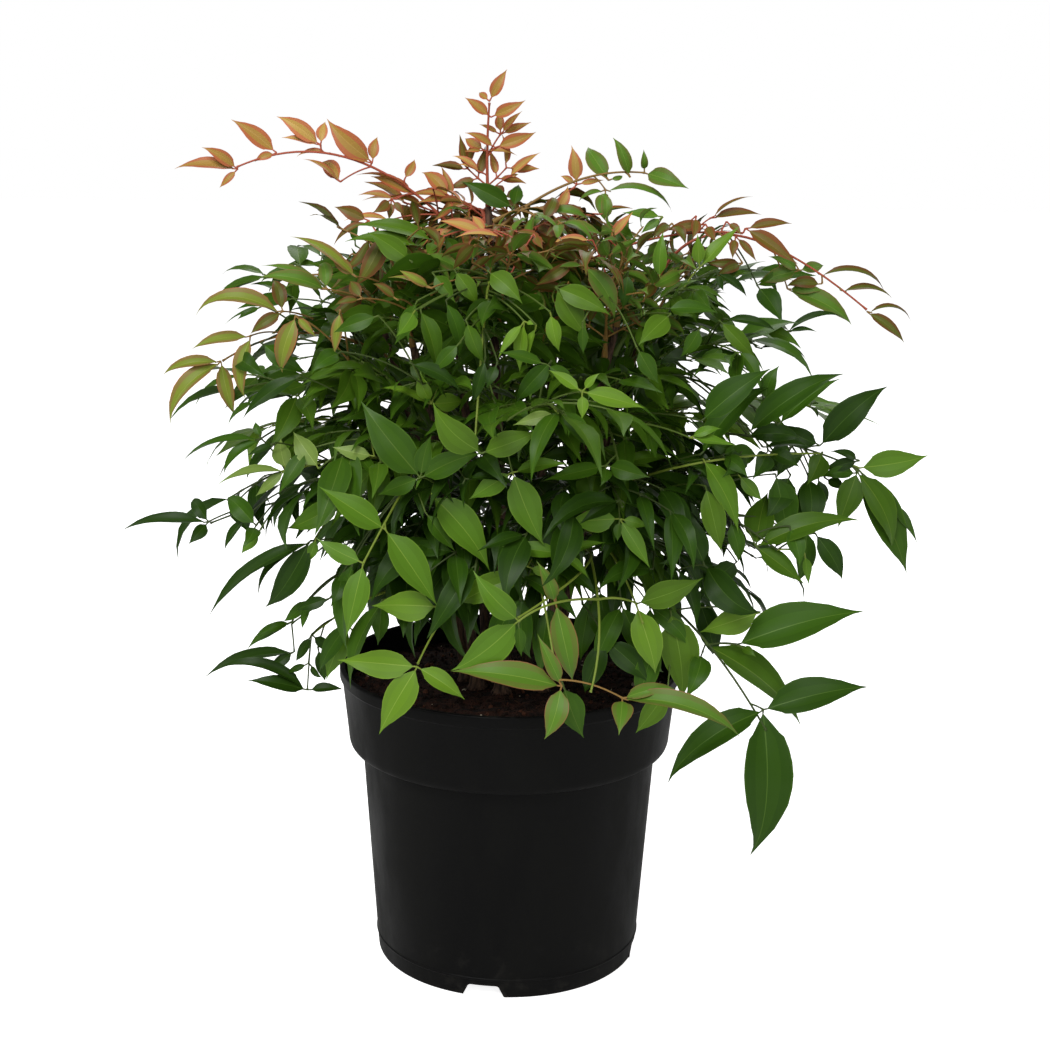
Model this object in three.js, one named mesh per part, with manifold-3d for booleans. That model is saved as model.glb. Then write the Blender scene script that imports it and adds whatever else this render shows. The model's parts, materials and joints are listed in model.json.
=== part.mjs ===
// Heavenly bamboo in a round nursery pot: pot, potting soil, eight canes and their compound leaves.
// Millimetres, +Z up. The origin is the centre of the pot's flat underside.
// Azimuths are degrees from +X towards +Y, so the front of the plant is at -90.
import * as THREE from "three";
import { mergeVertices } from "three/addons/utils/BufferGeometryUtils.js";
import Module from "manifold-3d";

const wasm = await Module();
wasm.setup();

const UP = new THREE.Vector3(0, 0, 1);
const GOLDEN_ANGLE = 137.508;
const SEAT_GAP = 0.3; // Space kept where one piece rests on another

// ---------------------------------------------------------------- driving dimensions

const POT = {
  height: 204,
  rimRadius: 115,
  lipHeight: 8,
  lipStep: 1.7,
  collarFoot: 157,
  collarFootRadius: 109.2,
  bodyTop: 148,
  bodyTopRadius: 99.8,
  baseRadius: 89.6,
  baseRounding: 2,
  beadHeight: 13,
  beadProud: 0.6,
  wall: 1.8,
  floor: 2,
  sides: 28,
};

const CHANNEL = {
  count: 4,
  firstAzimuth: -99.3,
  mouthWidth: 29,
  roofWidth: 21,
  height: 8.7,
  cornerRadius: 2.5,
  innerEnd: 56,
  outerEnd: 100,
  skin: 1.8,
  drainAt: 72,
  drainRadius: 6,
};

const SOIL = { level: 190, edgeDrop: 4, flatRadius: 62 };

const CANE = { footRadius: 4, tipRadius: 2.1, flare: 1.5, flareHeight: 9, sides: 6, rings: 5 };

// Where each cane stands in the clump, how far it leans out by its tip, and how high it ends.
const CANES = [
  { azimuth: -102, foot: 26, lean: 58, tip: 446 },
  { azimuth: -40, foot: 27, lean: 84, tip: 440 },
  { azimuth: 12, foot: 29, lean: 88, tip: 436 },
  { azimuth: 66, foot: 27, lean: 76, tip: 438 },
  { azimuth: 122, foot: 28, lean: 80, tip: 432 },
  { azimuth: 176, foot: 29, lean: 86, tip: 430 },
  { azimuth: -146, foot: 26, lean: 76, tip: 424 },
  { azimuth: 150, foot: 3, lean: 20, tip: 508 },
];

const STALK = {
  baseRadius: 1.6,
  tipRadius: 0.9,
  segments: 4,
  bare: 0.2,
  clearance: 1.2,
  shifts: [0, 9, -9, 18, -18], // Tried in turn along the cane until the stalk clears its neighbours
  turns: [0, 7, -7, 14, -14],
};

const PINNA = {
  radius: 0.95,
  tipRadius: 0.8,
  splay: 52,
  length: 0.56,
  droop: 0.4,
  endSize: 0.92,
  sideSize: 0.76,
  sideBack: 5,
};

const LEAFLET = {
  width: 0.48,
  widest: 0.44,
  thickness: 0.02,
  arch: 0.04,
  fold: 0.03,
  tipDrop: 0.07,
  splay: 52,
  sunk: 2,
  jointSunk: 0.5,
  rootOverlap: 2.2,
  clearance: 0.4,
  smallest: 0.86,
  largest: 1.02,
  turnSpread: 10,
  sagSpread: 12,
  twistSpread: 36,
};

// Where a leaflet may move to clear its neighbours: swung aside, bowed down, and made smaller.
const LEAFLET_MOVES = [
  { swing: 0, bow: 0, size: 1 },
  { swing: 12, bow: 8, size: 1 },
  { swing: -12, bow: -8, size: 1 },
  { swing: 0, bow: 20, size: 0.9 },
  { swing: 20, bow: -16, size: 0.8 },
];

const GRID = 0.01; // Corners of a joined leaf are rounded to this, so that no sliver is left
const ATTEMPTS = 8;

// Leaves with a place of their own in the outline. Each springs from a cane at a part of its height.
// Azimuth, reach and height place the node that carries its end leaflet, measured from the origin.
// The knee of the stalk stands above the middle by arch and aside by bend. Droop turns the leaflets
// down, endDroop the last one, roll tips the leaf to one side, and bare is the part with no leaflets.
const FEATURE_LEAVES = [
  { name: "top_shoot", cane: 7, at: 1, azimuth: 180, reach: 17, height: 574, arch: 0, leaflet: 27,
    pinnae: [3, 1, 1, 1], droop: -14, facing: -90, bare: 0.2, tint: "bronze" },
  { name: "top_left_arch", cane: 7, at: 0.88, azimuth: -173, reach: 176, height: 533, arch: 68, leaflet: 42,
    pinnae: [3, 1, 1, 1], droop: 0, endDroop: -14, roll: 24, tint: "bronze" },
  { name: "top_right_arch", cane: 2, at: 1, azimuth: 0, reach: 229, height: 446, arch: 76, leaflet: 38,
    pinnae: [3, 3, 1, 1], droop: 6, endDroop: -8, roll: -28, tint: "bronze" },
  { name: "right_high_arch", cane: 7, at: 0.78, azimuth: -8, reach: 146, height: 496, arch: 34, leaflet: 38,
    pinnae: [3, 3, 1], droop: 4, endDroop: -8, roll: -24, tint: "bronze" },
  { name: "green_arch", cane: 7, at: 0.95, azimuth: 8, reach: 84, height: 531, arch: 24, leaflet: 32,
    pinnae: [1, 1, 1], droop: -14, endDroop: 8, roll: -46, tint: "fresh" },
  { name: "pink_shoot", cane: 7, at: 0.86, azimuth: 38, reach: 49, height: 520, arch: 12, leaflet: 30,
    pinnae: [1, 1], droop: -10, facing: -60, tint: "bronze" },
  { name: "left_cluster", cane: 5, at: 0.92, azimuth: -168, reach: 188, height: 413, arch: 34, leaflet: 46,
    pinnae: [3, 1, 1], droop: 26, endDroop: -14, roll: 30, tint: "fresh" },
  { name: "left_high", cane: 5, at: 1, azimuth: 178, reach: 140, height: 462, arch: 22, leaflet: 46,
    pinnae: [3, 3, 1], droop: 8, endDroop: -6, roll: 24, tint: "fresh" },
  { name: "left_middle", cane: 5, at: 0.76, azimuth: -176, reach: 166, height: 357, arch: 26, leaflet: 56,
    pinnae: [3, 3, 1], droop: 16, endDroop: -8, roll: 24, tint: "dark" },
  { name: "left_pale", cane: 6, at: 0.66, azimuth: -157, reach: 154, height: 346, arch: 16, leaflet: 46,
    pinnae: [3, 1, 1], droop: 4, endDroop: -8, roll: 26, tint: "bright" },
  { name: "left_long", cane: 5, at: 0.5, azimuth: 177, reach: 203, height: 295, arch: 26, leaflet: 64,
    pinnae: [3, 1, 1], droop: 4, endDroop: -16, roll: 18, tint: "dark" },
  { name: "left_low", cane: 4, at: 0.3, azimuth: 172, reach: 152, height: 222, arch: 30, leaflet: 52,
    pinnae: [3, 1, 1], droop: 2, endDroop: -10, roll: 16, tint: "dark" },
  { name: "left_front_low", cane: 6, at: 0.3, azimuth: -156, reach: 140, height: 238, arch: 28, leaflet: 48,
    pinnae: [3, 1], droop: 0, endDroop: -14, roll: 16, tint: "bright" },
  { name: "front_three", cane: 0, at: 0.3, azimuth: -112, reach: 146, height: 245, arch: 34, leaflet: 56,
    pinnae: [1], droop: -12, endDroop: 26, bare: 0.96, tint: "bright" },
  { name: "front_middle", cane: 1, at: 0.42, azimuth: -88, reach: 160, height: 282, arch: 24, bend: -56,
    leaflet: 54, pinnae: [3, 1, 1], droop: 24, endDroop: 18, tint: "bright" },
  { name: "front_hanging", cane: 0, at: 0.5, azimuth: -73, reach: 168, height: 246, arch: 66, leaflet: 60,
    pinnae: [3], droop: -18, endDroop: 20, bare: 0.95, tint: "bright" },
  { name: "front_left", cane: 6, at: 0.72, azimuth: -120, reach: 172, height: 311, arch: 46, bend: -20,
    leaflet: 56, pinnae: [3, 3, 1], droop: 26, endDroop: -10, tint: "bright" },
  { name: "front_centre", cane: 0, at: 0.86, azimuth: -98, reach: 150, height: 380, arch: 34, leaflet: 52,
    pinnae: [3, 3, 1], droop: 22, tint: "bright" },
  { name: "front_right", cane: 1, at: 0.74, azimuth: -62, reach: 138, height: 366, arch: 30, leaflet: 54,
    pinnae: [3, 3, 1], droop: 24, tint: "green" },
  { name: "front_right_low", cane: 1, at: 0.42, azimuth: -56, reach: 146, height: 268, arch: 40, leaflet: 56,
    pinnae: [3, 1], droop: 26, tint: "bright" },
  { name: "heart_right", cane: 7, at: 0.64, azimuth: -36, reach: 96, height: 446, arch: 26, leaflet: 56,
    pinnae: [3, 3, 1], droop: 22, tint: "green" },
  { name: "heart_back", cane: 7, at: 0.56, azimuth: 98, reach: 104, height: 436, arch: 24, leaflet: 58,
    pinnae: [3, 3, 1], droop: 22, tint: "green" },
  { name: "right_far", cane: 2, at: 0.66, azimuth: -10, reach: 220, height: 351, arch: 28, leaflet: 64,
    pinnae: [3, 3, 1], droop: 44, endDroop: -26, roll: -8, bare: 0.24, tint: "dark" },
  { name: "right_front", cane: 1, at: 0.58, azimuth: -28, reach: 188, height: 307, arch: 30, leaflet: 64,
    pinnae: [3, 3, 1], droop: 24, endDroop: -10, roll: -22, tint: "dark" },
  { name: "right_low", cane: 1, at: 0.34, azimuth: -37, reach: 200, height: 200, arch: 66, leaflet: 82,
    pinnae: [1, 1], droop: -20, endDroop: 84, facing: -84, roll: 10, bare: 0.7, tint: "dark" },
  { name: "right_upper", cane: 1, at: 0.88, azimuth: -14, reach: 158, height: 388, arch: 18, leaflet: 66,
    pinnae: [3, 3, 1], droop: 10, endDroop: -12, roll: -26, tint: "dark" },
];

// The remaining leaves follow the golden angle over the crown's rounded shell, from its foot to its top.
const FILL = {
  count: 24,
  seed: 77,
  firstAzimuth: 70,
  depths: [1, 0.96, 0.6],
  crowding: 0.8,
  lowestRise: -0.6,
  highestRise: 0.992,
  heart: 325,
  below: 125,
  above: 178,
  reach: 212,
  squareness: 2.6,
  frontRise: 0.25,
  lowFrontReach: 0.62,
  highFrontReach: 0.88,
};

const TINTS = {
  bronze: 0x9a5a34,
  fresh: 0x6f8a35,
  bright: 0x47742c,
  green: 0x33602a,
  dark: 0x1f4522,
};

// ---------------------------------------------------------------- small helpers

const radians = THREE.MathUtils.degToRad;
const mix = THREE.MathUtils.lerp;

/** A point, or a direction, from its three coordinates. */
function vector(x, y, z) {
  return new THREE.Vector3(x, y, z);
}

/** The level direction that points to an azimuth in degrees. */
function heading(azimuth) {
  return vector(Math.cos(radians(azimuth)), Math.sin(radians(azimuth)), 0);
}

/** start + direction * distance, as a new point. */
function along(start, direction, distance) {
  return start.clone().addScaledVector(direction, distance);
}

/** A seeded generator of numbers from 0 to 1, so that every run grows the same plant. */
function seeded(seed) {
  let state = seed >>> 0;
  return () => {
    state = (state + 0x6d2b79f5) >>> 0;
    let mixed = Math.imul(state ^ (state >>> 15), state | 1);
    mixed ^= mixed + Math.imul(mixed ^ (mixed >>> 7), mixed | 61);
    return ((mixed ^ (mixed >>> 14)) >>> 0) / 4294967296;
  };
}

/** A closed geometry from points and the triangles between them. */
function closedGeometry(points, triangles) {
  const geometry = new THREE.BufferGeometry();
  geometry.setAttribute("position", new THREE.Float32BufferAttribute(points.flatMap((p) => p.toArray()), 3));
  geometry.setIndex(triangles.flat());
  return geometry;
}

/** The triangles of a tube through rings of equal count, listed ring by ring, with flat ends. */
function tubeTriangles(ringCount, sides) {
  const triangles = [];
  for (let ring = 0; ring < ringCount - 1; ring++) {
    for (let side = 0; side < sides; side++) {
      const a = ring * sides + side;
      const b = ring * sides + ((side + 1) % sides);
      triangles.push([a, b, b + sides], [a, b + sides, a + sides]);
    }
  }
  const last = (ringCount - 1) * sides;
  for (let side = 1; side < sides - 1; side++) {
    triangles.push([0, side + 1, side], [last, last + side, last + side + 1]);
  }
  return triangles;
}

/** The corners of a ring about a centre, square to the tangent, with its first corner towards normal. */
function ringPoints(centre, tangent, normal, radius, sides) {
  const across = new THREE.Vector3().crossVectors(normal, tangent).normalize();
  const top = new THREE.Vector3().crossVectors(tangent, across).normalize();
  return Array.from({ length: sides }, (_, side) => {
    const turn = (2 * Math.PI * side) / sides;
    return along(along(centre, top, radius * Math.cos(turn)), across, -radius * Math.sin(turn));
  });
}

/** A three.js geometry as a solid that can be joined and cut. */
function solidOf(geometry) {
  const bare = geometry.clone();
  bare.deleteAttribute("normal");
  bare.deleteAttribute("uv");
  const merged = mergeVertices(bare, 1e-4);
  const index = merged.index.array;
  const triVerts = [];
  for (let i = 0; i < index.length; i += 3) {
    const [a, b, c] = [index[i], index[i + 1], index[i + 2]];
    if (a !== b && b !== c && c !== a) triVerts.push(a, b, c);
  }
  return new wasm.Manifold(new wasm.Mesh({
    numProp: 3,
    vertProperties: new Float32Array(merged.attributes.position.array),
    triVerts: new Uint32Array(triVerts),
  }));
}

/** The geometry of a solid. */
function geometryOf(solid) {
  const mesh = solid.getMesh();
  const geometry = new THREE.BufferGeometry();
  geometry.setAttribute("position", new THREE.BufferAttribute(new Float32Array(mesh.vertProperties), 3));
  geometry.setIndex(new THREE.BufferAttribute(new Uint32Array(mesh.triVerts), 1));
  return geometry;
}

/** A solid's geometry on the grid, without what that flattens, or null if an edge is left open. */
function griddedGeometry(solid) {
  const { vertProperties, triVerts } = solid.getMesh();
  const [corners, numbers] = [[], new Map()];
  const onGrid = Array.from({ length: vertProperties.length / 3 }, (_, vertex) => {
    const corner = [0, 1, 2].map((axis) => Math.round(vertProperties[3 * vertex + axis] / GRID));
    const key = corner.join();
    if (!numbers.has(key)) numbers.set(key, corners.push(corner.map((step) => step * GRID)) - 1);
    return numbers.get(key);
  });
  const faces = new Map();
  for (let i = 0; i < triVerts.length; i += 3) {
    const face = [0, 1, 2].map((corner) => onGrid[triVerts[i + corner]]);
    if (new Set(face).size < 3) continue;
    const key = [...face].sort((a, b) => a - b).join();
    if (!faces.delete(key)) faces.set(key, face);
  }
  const edges = new Map();
  for (const face of faces.values()) {
    face.forEach((from, corner) => {
      const key = `${from},${face[(corner + 1) % 3]}`;
      edges.set(key, (edges.get(key) ?? 0) + 1);
    });
  }
  const met = ([key, uses]) => uses === 1 && edges.get(key.split(",").reverse().join()) === 1;
  if (![...edges].every(met)) return null;
  const geometry = new THREE.BufferGeometry();
  geometry.setAttribute("position", new THREE.Float32BufferAttribute(corners.flat(), 3));
  geometry.setIndex([...faces.values()].flat());
  return geometry;
}

/** A named mesh with a matt finish of its own. */
function piece(name, geometry, color, roughness) {
  const material = new THREE.MeshStandardMaterial({ color, roughness, metalness: 0, flatShading: true });
  const mesh = new THREE.Mesh(geometry, material);
  mesh.name = name;
  return mesh;
}

// ---------------------------------------------------------------- clearances

/** A convex piece for clearance tests: its points, its box and the directions that can part it. */
function convexPiece(points, triangles) {
  const normals = [];
  const edges = new Map();
  for (const corners of triangles) {
    const [a, b, c] = corners.map((corner) => points[corner]);
    const normal = new THREE.Vector3().crossVectors(b.clone().sub(a), c.clone().sub(a));
    if (normal.lengthSq() > 1e-9) normals.push(normal.normalize());
    for (let i = 0; i < 3; i++) {
      const pair = [corners[i], corners[(i + 1) % 3]].sort((p, q) => p - q);
      edges.set(pair.join(), points[pair[0]].clone().sub(points[pair[1]]).normalize());
    }
  }
  return { points, normals, edges: [...edges.values()], box: new THREE.Box3().setFromPoints(points) };
}

/** The gap between two point sets along one direction. Negative where their shadows overlap. */
function gapAlong(direction, first, second) {
  let [lowA, highA, lowB, highB] = [Infinity, -Infinity, Infinity, -Infinity];
  for (const point of first) {
    const place = point.dot(direction);
    lowA = Math.min(lowA, place);
    highA = Math.max(highA, place);
  }
  for (const point of second) {
    const place = point.dot(direction);
    lowB = Math.min(lowB, place);
    highB = Math.max(highB, place);
  }
  return Math.max(lowB - highA, lowA - highB);
}

/** True if two convex pieces are at least a clearance apart. */
function clearOf(a, b, clearance) {
  if (!a.box.clone().expandByScalar(clearance).intersectsBox(b.box)) return true;
  if ([...a.normals, ...b.normals].some((n) => gapAlong(n, a.points, b.points) >= clearance)) return true;
  const cross = new THREE.Vector3();
  return a.edges.some((edgeA) => b.edges.some((edgeB) => {
    cross.crossVectors(edgeA, edgeB);
    return cross.lengthSq() > 1e-6 && gapAlong(cross.normalize(), a.points, b.points) >= clearance;
  }));
}

/** The shortest distance between two straight stretches. */
function stretchDistance(a0, a1, b0, b1) {
  const [u, v, w] = [a1.clone().sub(a0), b1.clone().sub(b0), a0.clone().sub(b0)];
  const [a, b, c, d, e] = [u.dot(u), u.dot(v), v.dot(v), u.dot(w), v.dot(w)];
  const square = a * c - b * b;
  let s = square > 1e-9 ? THREE.MathUtils.clamp((b * e - c * d) / square, 0, 1) : 0;
  const t = THREE.MathUtils.clamp((b * s + e) / c, 0, 1);
  s = THREE.MathUtils.clamp((b * t - d) / a, 0, 1);
  return along(a0, u, s).distanceTo(along(b0, v, t));
}

/** True if a point lies within the pot or its mouth. */
function inPot(point) {
  return point.z < POT.height + 2 && Math.hypot(point.x, point.y) < POT.rimRadius + 2;
}

// ---------------------------------------------------------------- pot and soil

/** Points of a quarter round from one point to another, bulging towards a corner. */
function roundedCorner(from, corner, to, steps) {
  const curve = new THREE.QuadraticBezierCurve(from, corner, to);
  return curve.getPoints(steps);
}

/** The pot's inside from its floor up to the rim, as points of radius and height. */
function innerProfile() {
  const { wall, floor, baseRadius, bodyTop, bodyTopRadius, collarFoot, collarFootRadius } = POT;
  const rimInside = POT.rimRadius - POT.lipStep - wall;
  return [
    new THREE.Vector2(0, floor),
    new THREE.Vector2(baseRadius - wall, floor),
    new THREE.Vector2(bodyTopRadius - wall, bodyTop + 1.6),
    new THREE.Vector2(collarFootRadius - wall - 1.5, bodyTop + 4),
    new THREE.Vector2(collarFootRadius - wall, collarFoot + 1),
    new THREE.Vector2(rimInside, POT.height - POT.lipHeight),
    new THREE.Vector2(rimInside, POT.height - 1),
  ];
}

/** The pot's outside from the middle of its underside up to the lip. */
function outerProfile() {
  const { baseRadius, baseRounding, bodyTop, bodyTopRadius, collarFoot, collarFootRadius } = POT;
  const { height, rimRadius, lipHeight, lipStep, beadHeight, beadProud } = POT;
  const bodyRadius = (z) => mix(baseRadius, bodyTopRadius, z / bodyTop);
  return [
    new THREE.Vector2(0, 0),
    new THREE.Vector2(baseRadius - baseRounding, 0),
    new THREE.Vector2(baseRadius, baseRounding),
    new THREE.Vector2(bodyRadius(beadHeight - 1), beadHeight - 1),
    new THREE.Vector2(bodyRadius(beadHeight) + beadProud, beadHeight),
    new THREE.Vector2(bodyRadius(beadHeight + 1), beadHeight + 1),
    new THREE.Vector2(bodyTopRadius, bodyTop),
    ...roundedCorner(
      new THREE.Vector2(bodyTopRadius + 1.2, bodyTop + 1),
      new THREE.Vector2(collarFootRadius - 0.5, bodyTop + 1.4),
      new THREE.Vector2(collarFootRadius, collarFoot),
      2,
    ),
    new THREE.Vector2(rimRadius - lipStep, height - lipHeight - 1),
    new THREE.Vector2(rimRadius, height - lipHeight + 1),
    new THREE.Vector2(rimRadius, height - 1.6),
    new THREE.Vector2(rimRadius - 1.4, height),
    new THREE.Vector2(rimRadius - lipStep - POT.wall + 0.8, height),
  ];
}

/** A drainage channel's section widened by a skin, run out along +X from one distance to another. */
function channelSolid(skin, from, to) {
  const [foot, roof] = [CHANNEL.mouthWidth / 2 + skin, CHANNEL.roofWidth / 2 + skin];
  const top = CHANNEL.height + skin;
  const [corner, below] = [CHANNEL.cornerRadius, skin > 0 ? POT.floor / 2 : -1];
  const section = new THREE.Shape();
  section.moveTo(-foot, below);
  section.lineTo(foot, below);
  section.lineTo(roof + 0.5, top - corner);
  section.quadraticCurveTo(roof, top, roof - corner, top);
  section.lineTo(corner - roof, top);
  section.quadraticCurveTo(-roof, top, -roof - 0.5, top - corner);
  section.closePath();
  const extrusion = { depth: to - from, bevelEnabled: false, curveSegments: 2 };
  const geometry = new THREE.ExtrudeGeometry(section, extrusion);
  geometry.applyMatrix4(new THREE.Matrix4().makeBasis(vector(0, 1, 0), UP, vector(1, 0, 0)));
  geometry.translate(from, 0, 0);
  return geometry;
}

/** Every drainage channel's solid at its place round the base. */
function channelSolids(skin, from, to) {
  return Array.from({ length: CHANNEL.count }, (_, i) => {
    const turn = radians(CHANNEL.firstAzimuth + (360 * i) / CHANNEL.count);
    return solidOf(channelSolid(skin, from, to).rotateZ(turn));
  });
}

/** The pot: a turned shell whose base has drainage channels, each with a hole through its roof. */
function makePot() {
  const profile = [...outerProfile(), ...innerProfile().reverse()];
  let solid = solidOf(new THREE.LatheGeometry(profile, POT.sides).rotateX(Math.PI / 2));
  const housingEnd = POT.baseRadius - POT.wall / 2;
  for (const housing of channelSolids(CHANNEL.skin, CHANNEL.innerEnd - CHANNEL.skin, housingEnd)) {
    solid = solid.add(housing);
  }
  for (const channel of channelSolids(0, CHANNEL.innerEnd, CHANNEL.outerEnd)) {
    solid = solid.subtract(channel);
  }
  for (let i = 0; i < CHANNEL.count; i++) {
    const drill = new THREE.CylinderGeometry(CHANNEL.drainRadius, CHANNEL.drainRadius, 10, 12);
    const centre = heading(CHANNEL.firstAzimuth + (360 * i) / CHANNEL.count).multiplyScalar(CHANNEL.drainAt);
    drill.rotateX(Math.PI / 2).translate(centre.x, centre.y, CHANNEL.height);
    solid = solid.subtract(solidOf(drill));
  }
  return piece("pot", geometryOf(solid), 0x161616, 0.55);
}

/** The potting soil: it fills the pot to its level and lies round the drainage channels. */
function makeSoil() {
  const edge = SOIL.level - SOIL.edgeDrop;
  const slack = SEAT_GAP + 0.15;
  const wall = innerProfile().map((p) => new THREE.Vector2(Math.max(0, p.x - slack), p.y + slack));
  const below = wall.filter((p) => p.y < edge);
  const [foot, top] = [below.at(-1), wall[below.length]];
  const edgeRadius = mix(foot.x, top.x, (edge - foot.y) / (top.y - foot.y));
  const profile = [
    ...below,
    new THREE.Vector2(edgeRadius, edge),
    new THREE.Vector2(SOIL.flatRadius, SOIL.level),
    new THREE.Vector2(0, SOIL.level),
  ];
  let solid = solidOf(new THREE.LatheGeometry(profile, POT.sides).rotateX(Math.PI / 2));
  const [from, to] = [CHANNEL.innerEnd - CHANNEL.skin - SEAT_GAP, CHANNEL.outerEnd];
  for (const housing of channelSolids(CHANNEL.skin + SEAT_GAP, from, to)) {
    solid = solid.subtract(housing);
  }
  return piece("soil", geometryOf(solid), 0x2e1d15, 1);
}

// ---------------------------------------------------------------- canes

/** A cane's middle line, from the flat cut at the soil to its tip. */
function caneLine({ azimuth, foot, lean, tip }) {
  const out = heading(azimuth);
  const start = along(vector(0, 0, SOIL.level + SEAT_GAP), out, foot);
  const end = along(vector(0, 0, tip), out, lean);
  const knee = along(vector(0, 0, mix(start.z, tip, 0.5)), out, mix(foot, lean, 0.32));
  return new THREE.QuadraticBezierCurve3(start, knee, end);
}

/** A cane's radius at a part of its length, with its flare at the root. */
function caneRadius(part, length) {
  const taper = mix(CANE.footRadius, CANE.tipRadius, part);
  const flare = (CANE.flare - 1) * CANE.footRadius * Math.max(0, 1 - (part * length) / CANE.flareHeight);
  return taper + flare;
}

/** A cane as rings of points, with the first ring level at the soil. */
function makeCane(cane, number) {
  const line = caneLine(cane);
  const length = line.getLength();
  const parts = [0, CANE.flareHeight / length];
  for (let i = 1; i <= CANE.rings; i++) parts.push(i / CANE.rings);
  const out = heading(cane.azimuth);
  const rings = parts.map((part) => {
    const tangent = part === 0 ? UP : line.getTangent(part);
    return ringPoints(line.getPoint(part), tangent, out, caneRadius(part, length), CANE.sides);
  });
  const geometry = closedGeometry(rings.flat(), tubeTriangles(rings.length, CANE.sides));
  const shell = tubeTriangles(2, CANE.sides);
  const pieces = rings.slice(1).map((ring, i) => convexPiece([...rings[i], ...ring], shell));
  return { number, line, length, mesh: piece(`cane_${number + 1}`, geometry, 0x5a4330, 0.8), pieces };
}

// ---------------------------------------------------------------- leaves

/** The leaves that fill the crown, spread evenly over its shell. */
function fillLeaves() {
  const random = seeded(FILL.seed);
  return Array.from({ length: FILL.count }, (_, i) => {
    const level = ((i + 0.5) / FILL.count) ** FILL.crowding;
    const rise = mix(FILL.lowestRise, FILL.highestRise, level);
    const azimuth = (FILL.firstAzimuth + i * GOLDEN_ANGLE) % 360;
    const shellHeight = (rise < 0 ? FILL.below : FILL.above) * Math.abs(rise) ** (2 / FILL.squareness);
    const height = FILL.heart + Math.sign(rise) * shellHeight + mix(-8, 8, random());
    const front = Math.max(0, -Math.sin(radians(azimuth)));
    const frontReach = rise < FILL.frontRise ? FILL.lowFrontReach : FILL.highFrontReach;
    const depth = FILL.depths[i % FILL.depths.length];
    const shellReach = depth * FILL.reach * (1 - rise * rise) ** (1 / FILL.squareness);
    return {
      name: `fill_${String(i + 1).padStart(2, "0")}`,
      cane: nearestCane(azimuth, shellReach),
      at: THREE.MathUtils.clamp(mix(0.36, 1, level) + mix(-0.06, 0.06, random()), 0.34, 0.96),
      azimuth,
      reach: shellReach * mix(1, frontReach, front) * mix(0.9, 1.06, random()),
      height,
      arch: mix(36, 18, level) * mix(0.8, 1.2, random()),
      leaflet: mix(64, 56, level) * mix(0.92, 1.1, random()),
      pinnae: [3, 3, 3, 1],
      droop: mix(18, 10, level) + mix(-8, 8, random()),
      roll: mix(-14, 14, random()),
      tint: level > 0.86 ? "fresh" : level > 0.6 ? "green" : level > 0.42 ? "bright" : "dark",
    };
  });
}

/** The cane that stands nearest below a leaf. Leaves near the middle of the top spring from the tall one. */
function nearestCane(azimuth, reach) {
  const tall = CANES.length - 1;
  if (reach < 80) return tall;
  const turns = CANES.slice(0, tall).map((cane) => Math.cos(radians(cane.azimuth - azimuth)));
  return turns.indexOf(Math.max(...turns));
}

/** Specs in which every cane carries a leaf on its tip: the one that springs highest from it. */
function withTipLeaves(specs) {
  const highest = CANES.map((_, number) => {
    const mine = specs.filter((spec) => spec.cane === number);
    return mine.reduce((top, spec) => (spec.at > top.at ? spec : top));
  });
  return specs.map((spec) => (highest.includes(spec) ? { ...spec, at: 1 } : spec));
}

/** A leaf stalk's middle line for a spec, with its azimuth turned and its seat shifted a little. */
function stalkLine(spec, canes, turn, shift) {
  const cane = canes[spec.cane];
  const end = along(vector(0, 0, spec.height), heading(spec.azimuth + turn), spec.reach);
  const part = spec.at === 1 ? 1 : THREE.MathUtils.clamp(spec.at + shift / cane.length, 0.05, 0.97);
  const [heart, grain] = [cane.line.getPoint(part), cane.line.getTangent(part)];
  if (spec.at === 1) {
    const start = along(heart, grain, SEAT_GAP);
    const reach = start.distanceTo(end) / 2;
    const knee = along(start, grain, reach).add(vector(0, 0, spec.arch / 2));
    return new THREE.QuadraticBezierCurve3(start, knee, end);
  }
  const aside = new THREE.Vector3().crossVectors(end.clone().sub(heart).setZ(0).normalize(), UP);
  const knee = along(heart.clone().lerp(end, 0.5).add(vector(0, 0, spec.arch)), aside, spec.bend ?? 0);
  const lead = knee.clone().sub(heart).normalize();
  const rise = lead.dot(grain);
  const outward = along(lead, grain, -rise).normalize();
  const offset = caneRadius(part, cane.length) + SEAT_GAP + STALK.baseRadius * Math.abs(rise);
  return new THREE.QuadraticBezierCurve3(along(heart, outward, offset), knee, end);
}

/** The point at a part of a stalk, on the straight stretch that the stalk has there. */
function onStalk(line, part) {
  const place = part * STALK.segments;
  const below = Math.min(Math.floor(place), STALK.segments - 1);
  const next = line.getPoint((below + 1) / STALK.segments);
  return line.getPoint(below / STALK.segments).lerp(next, place - below);
}

/** The level direction from a stalk's foot to its tip. */
function leadOf(line) {
  return line.v2.clone().sub(line.v0).setZ(0).normalize();
}

/** The straight stretches of a line, in equal parts. */
function stretchesOf(line, count) {
  const points = line.getPoints(count);
  return points.slice(1).map((point, i) => [points[i], point]);
}

/** A stalk line that clears every other stalk and every cane but its own, or null. */
function routeStalk(spec, canes, taken) {
  const room = 2 * STALK.baseRadius + STALK.clearance;
  for (const shift of STALK.shifts) {
    for (const turn of STALK.turns) {
      const line = stalkLine(spec, canes, turn, shift);
      const mine = stretchesOf(line, STALK.segments);
      const others = canes.filter((cane) => cane.number !== spec.cane);
      const limbs = others.flatMap((cane) => stretchesOf(cane.line, CANE.rings));
      const caneRoom = STALK.baseRadius + CANE.footRadius + STALK.clearance;
      const clear = mine.every(([a, b]) => !inPot(a) && !inPot(b)
        && taken.every(([c, d]) => stretchDistance(a, b, c, d) > room)
        && limbs.every(([c, d]) => stretchDistance(a, b, c, d) > caneRoom));
      if (clear) return line;
    }
  }
  return null;
}

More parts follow.
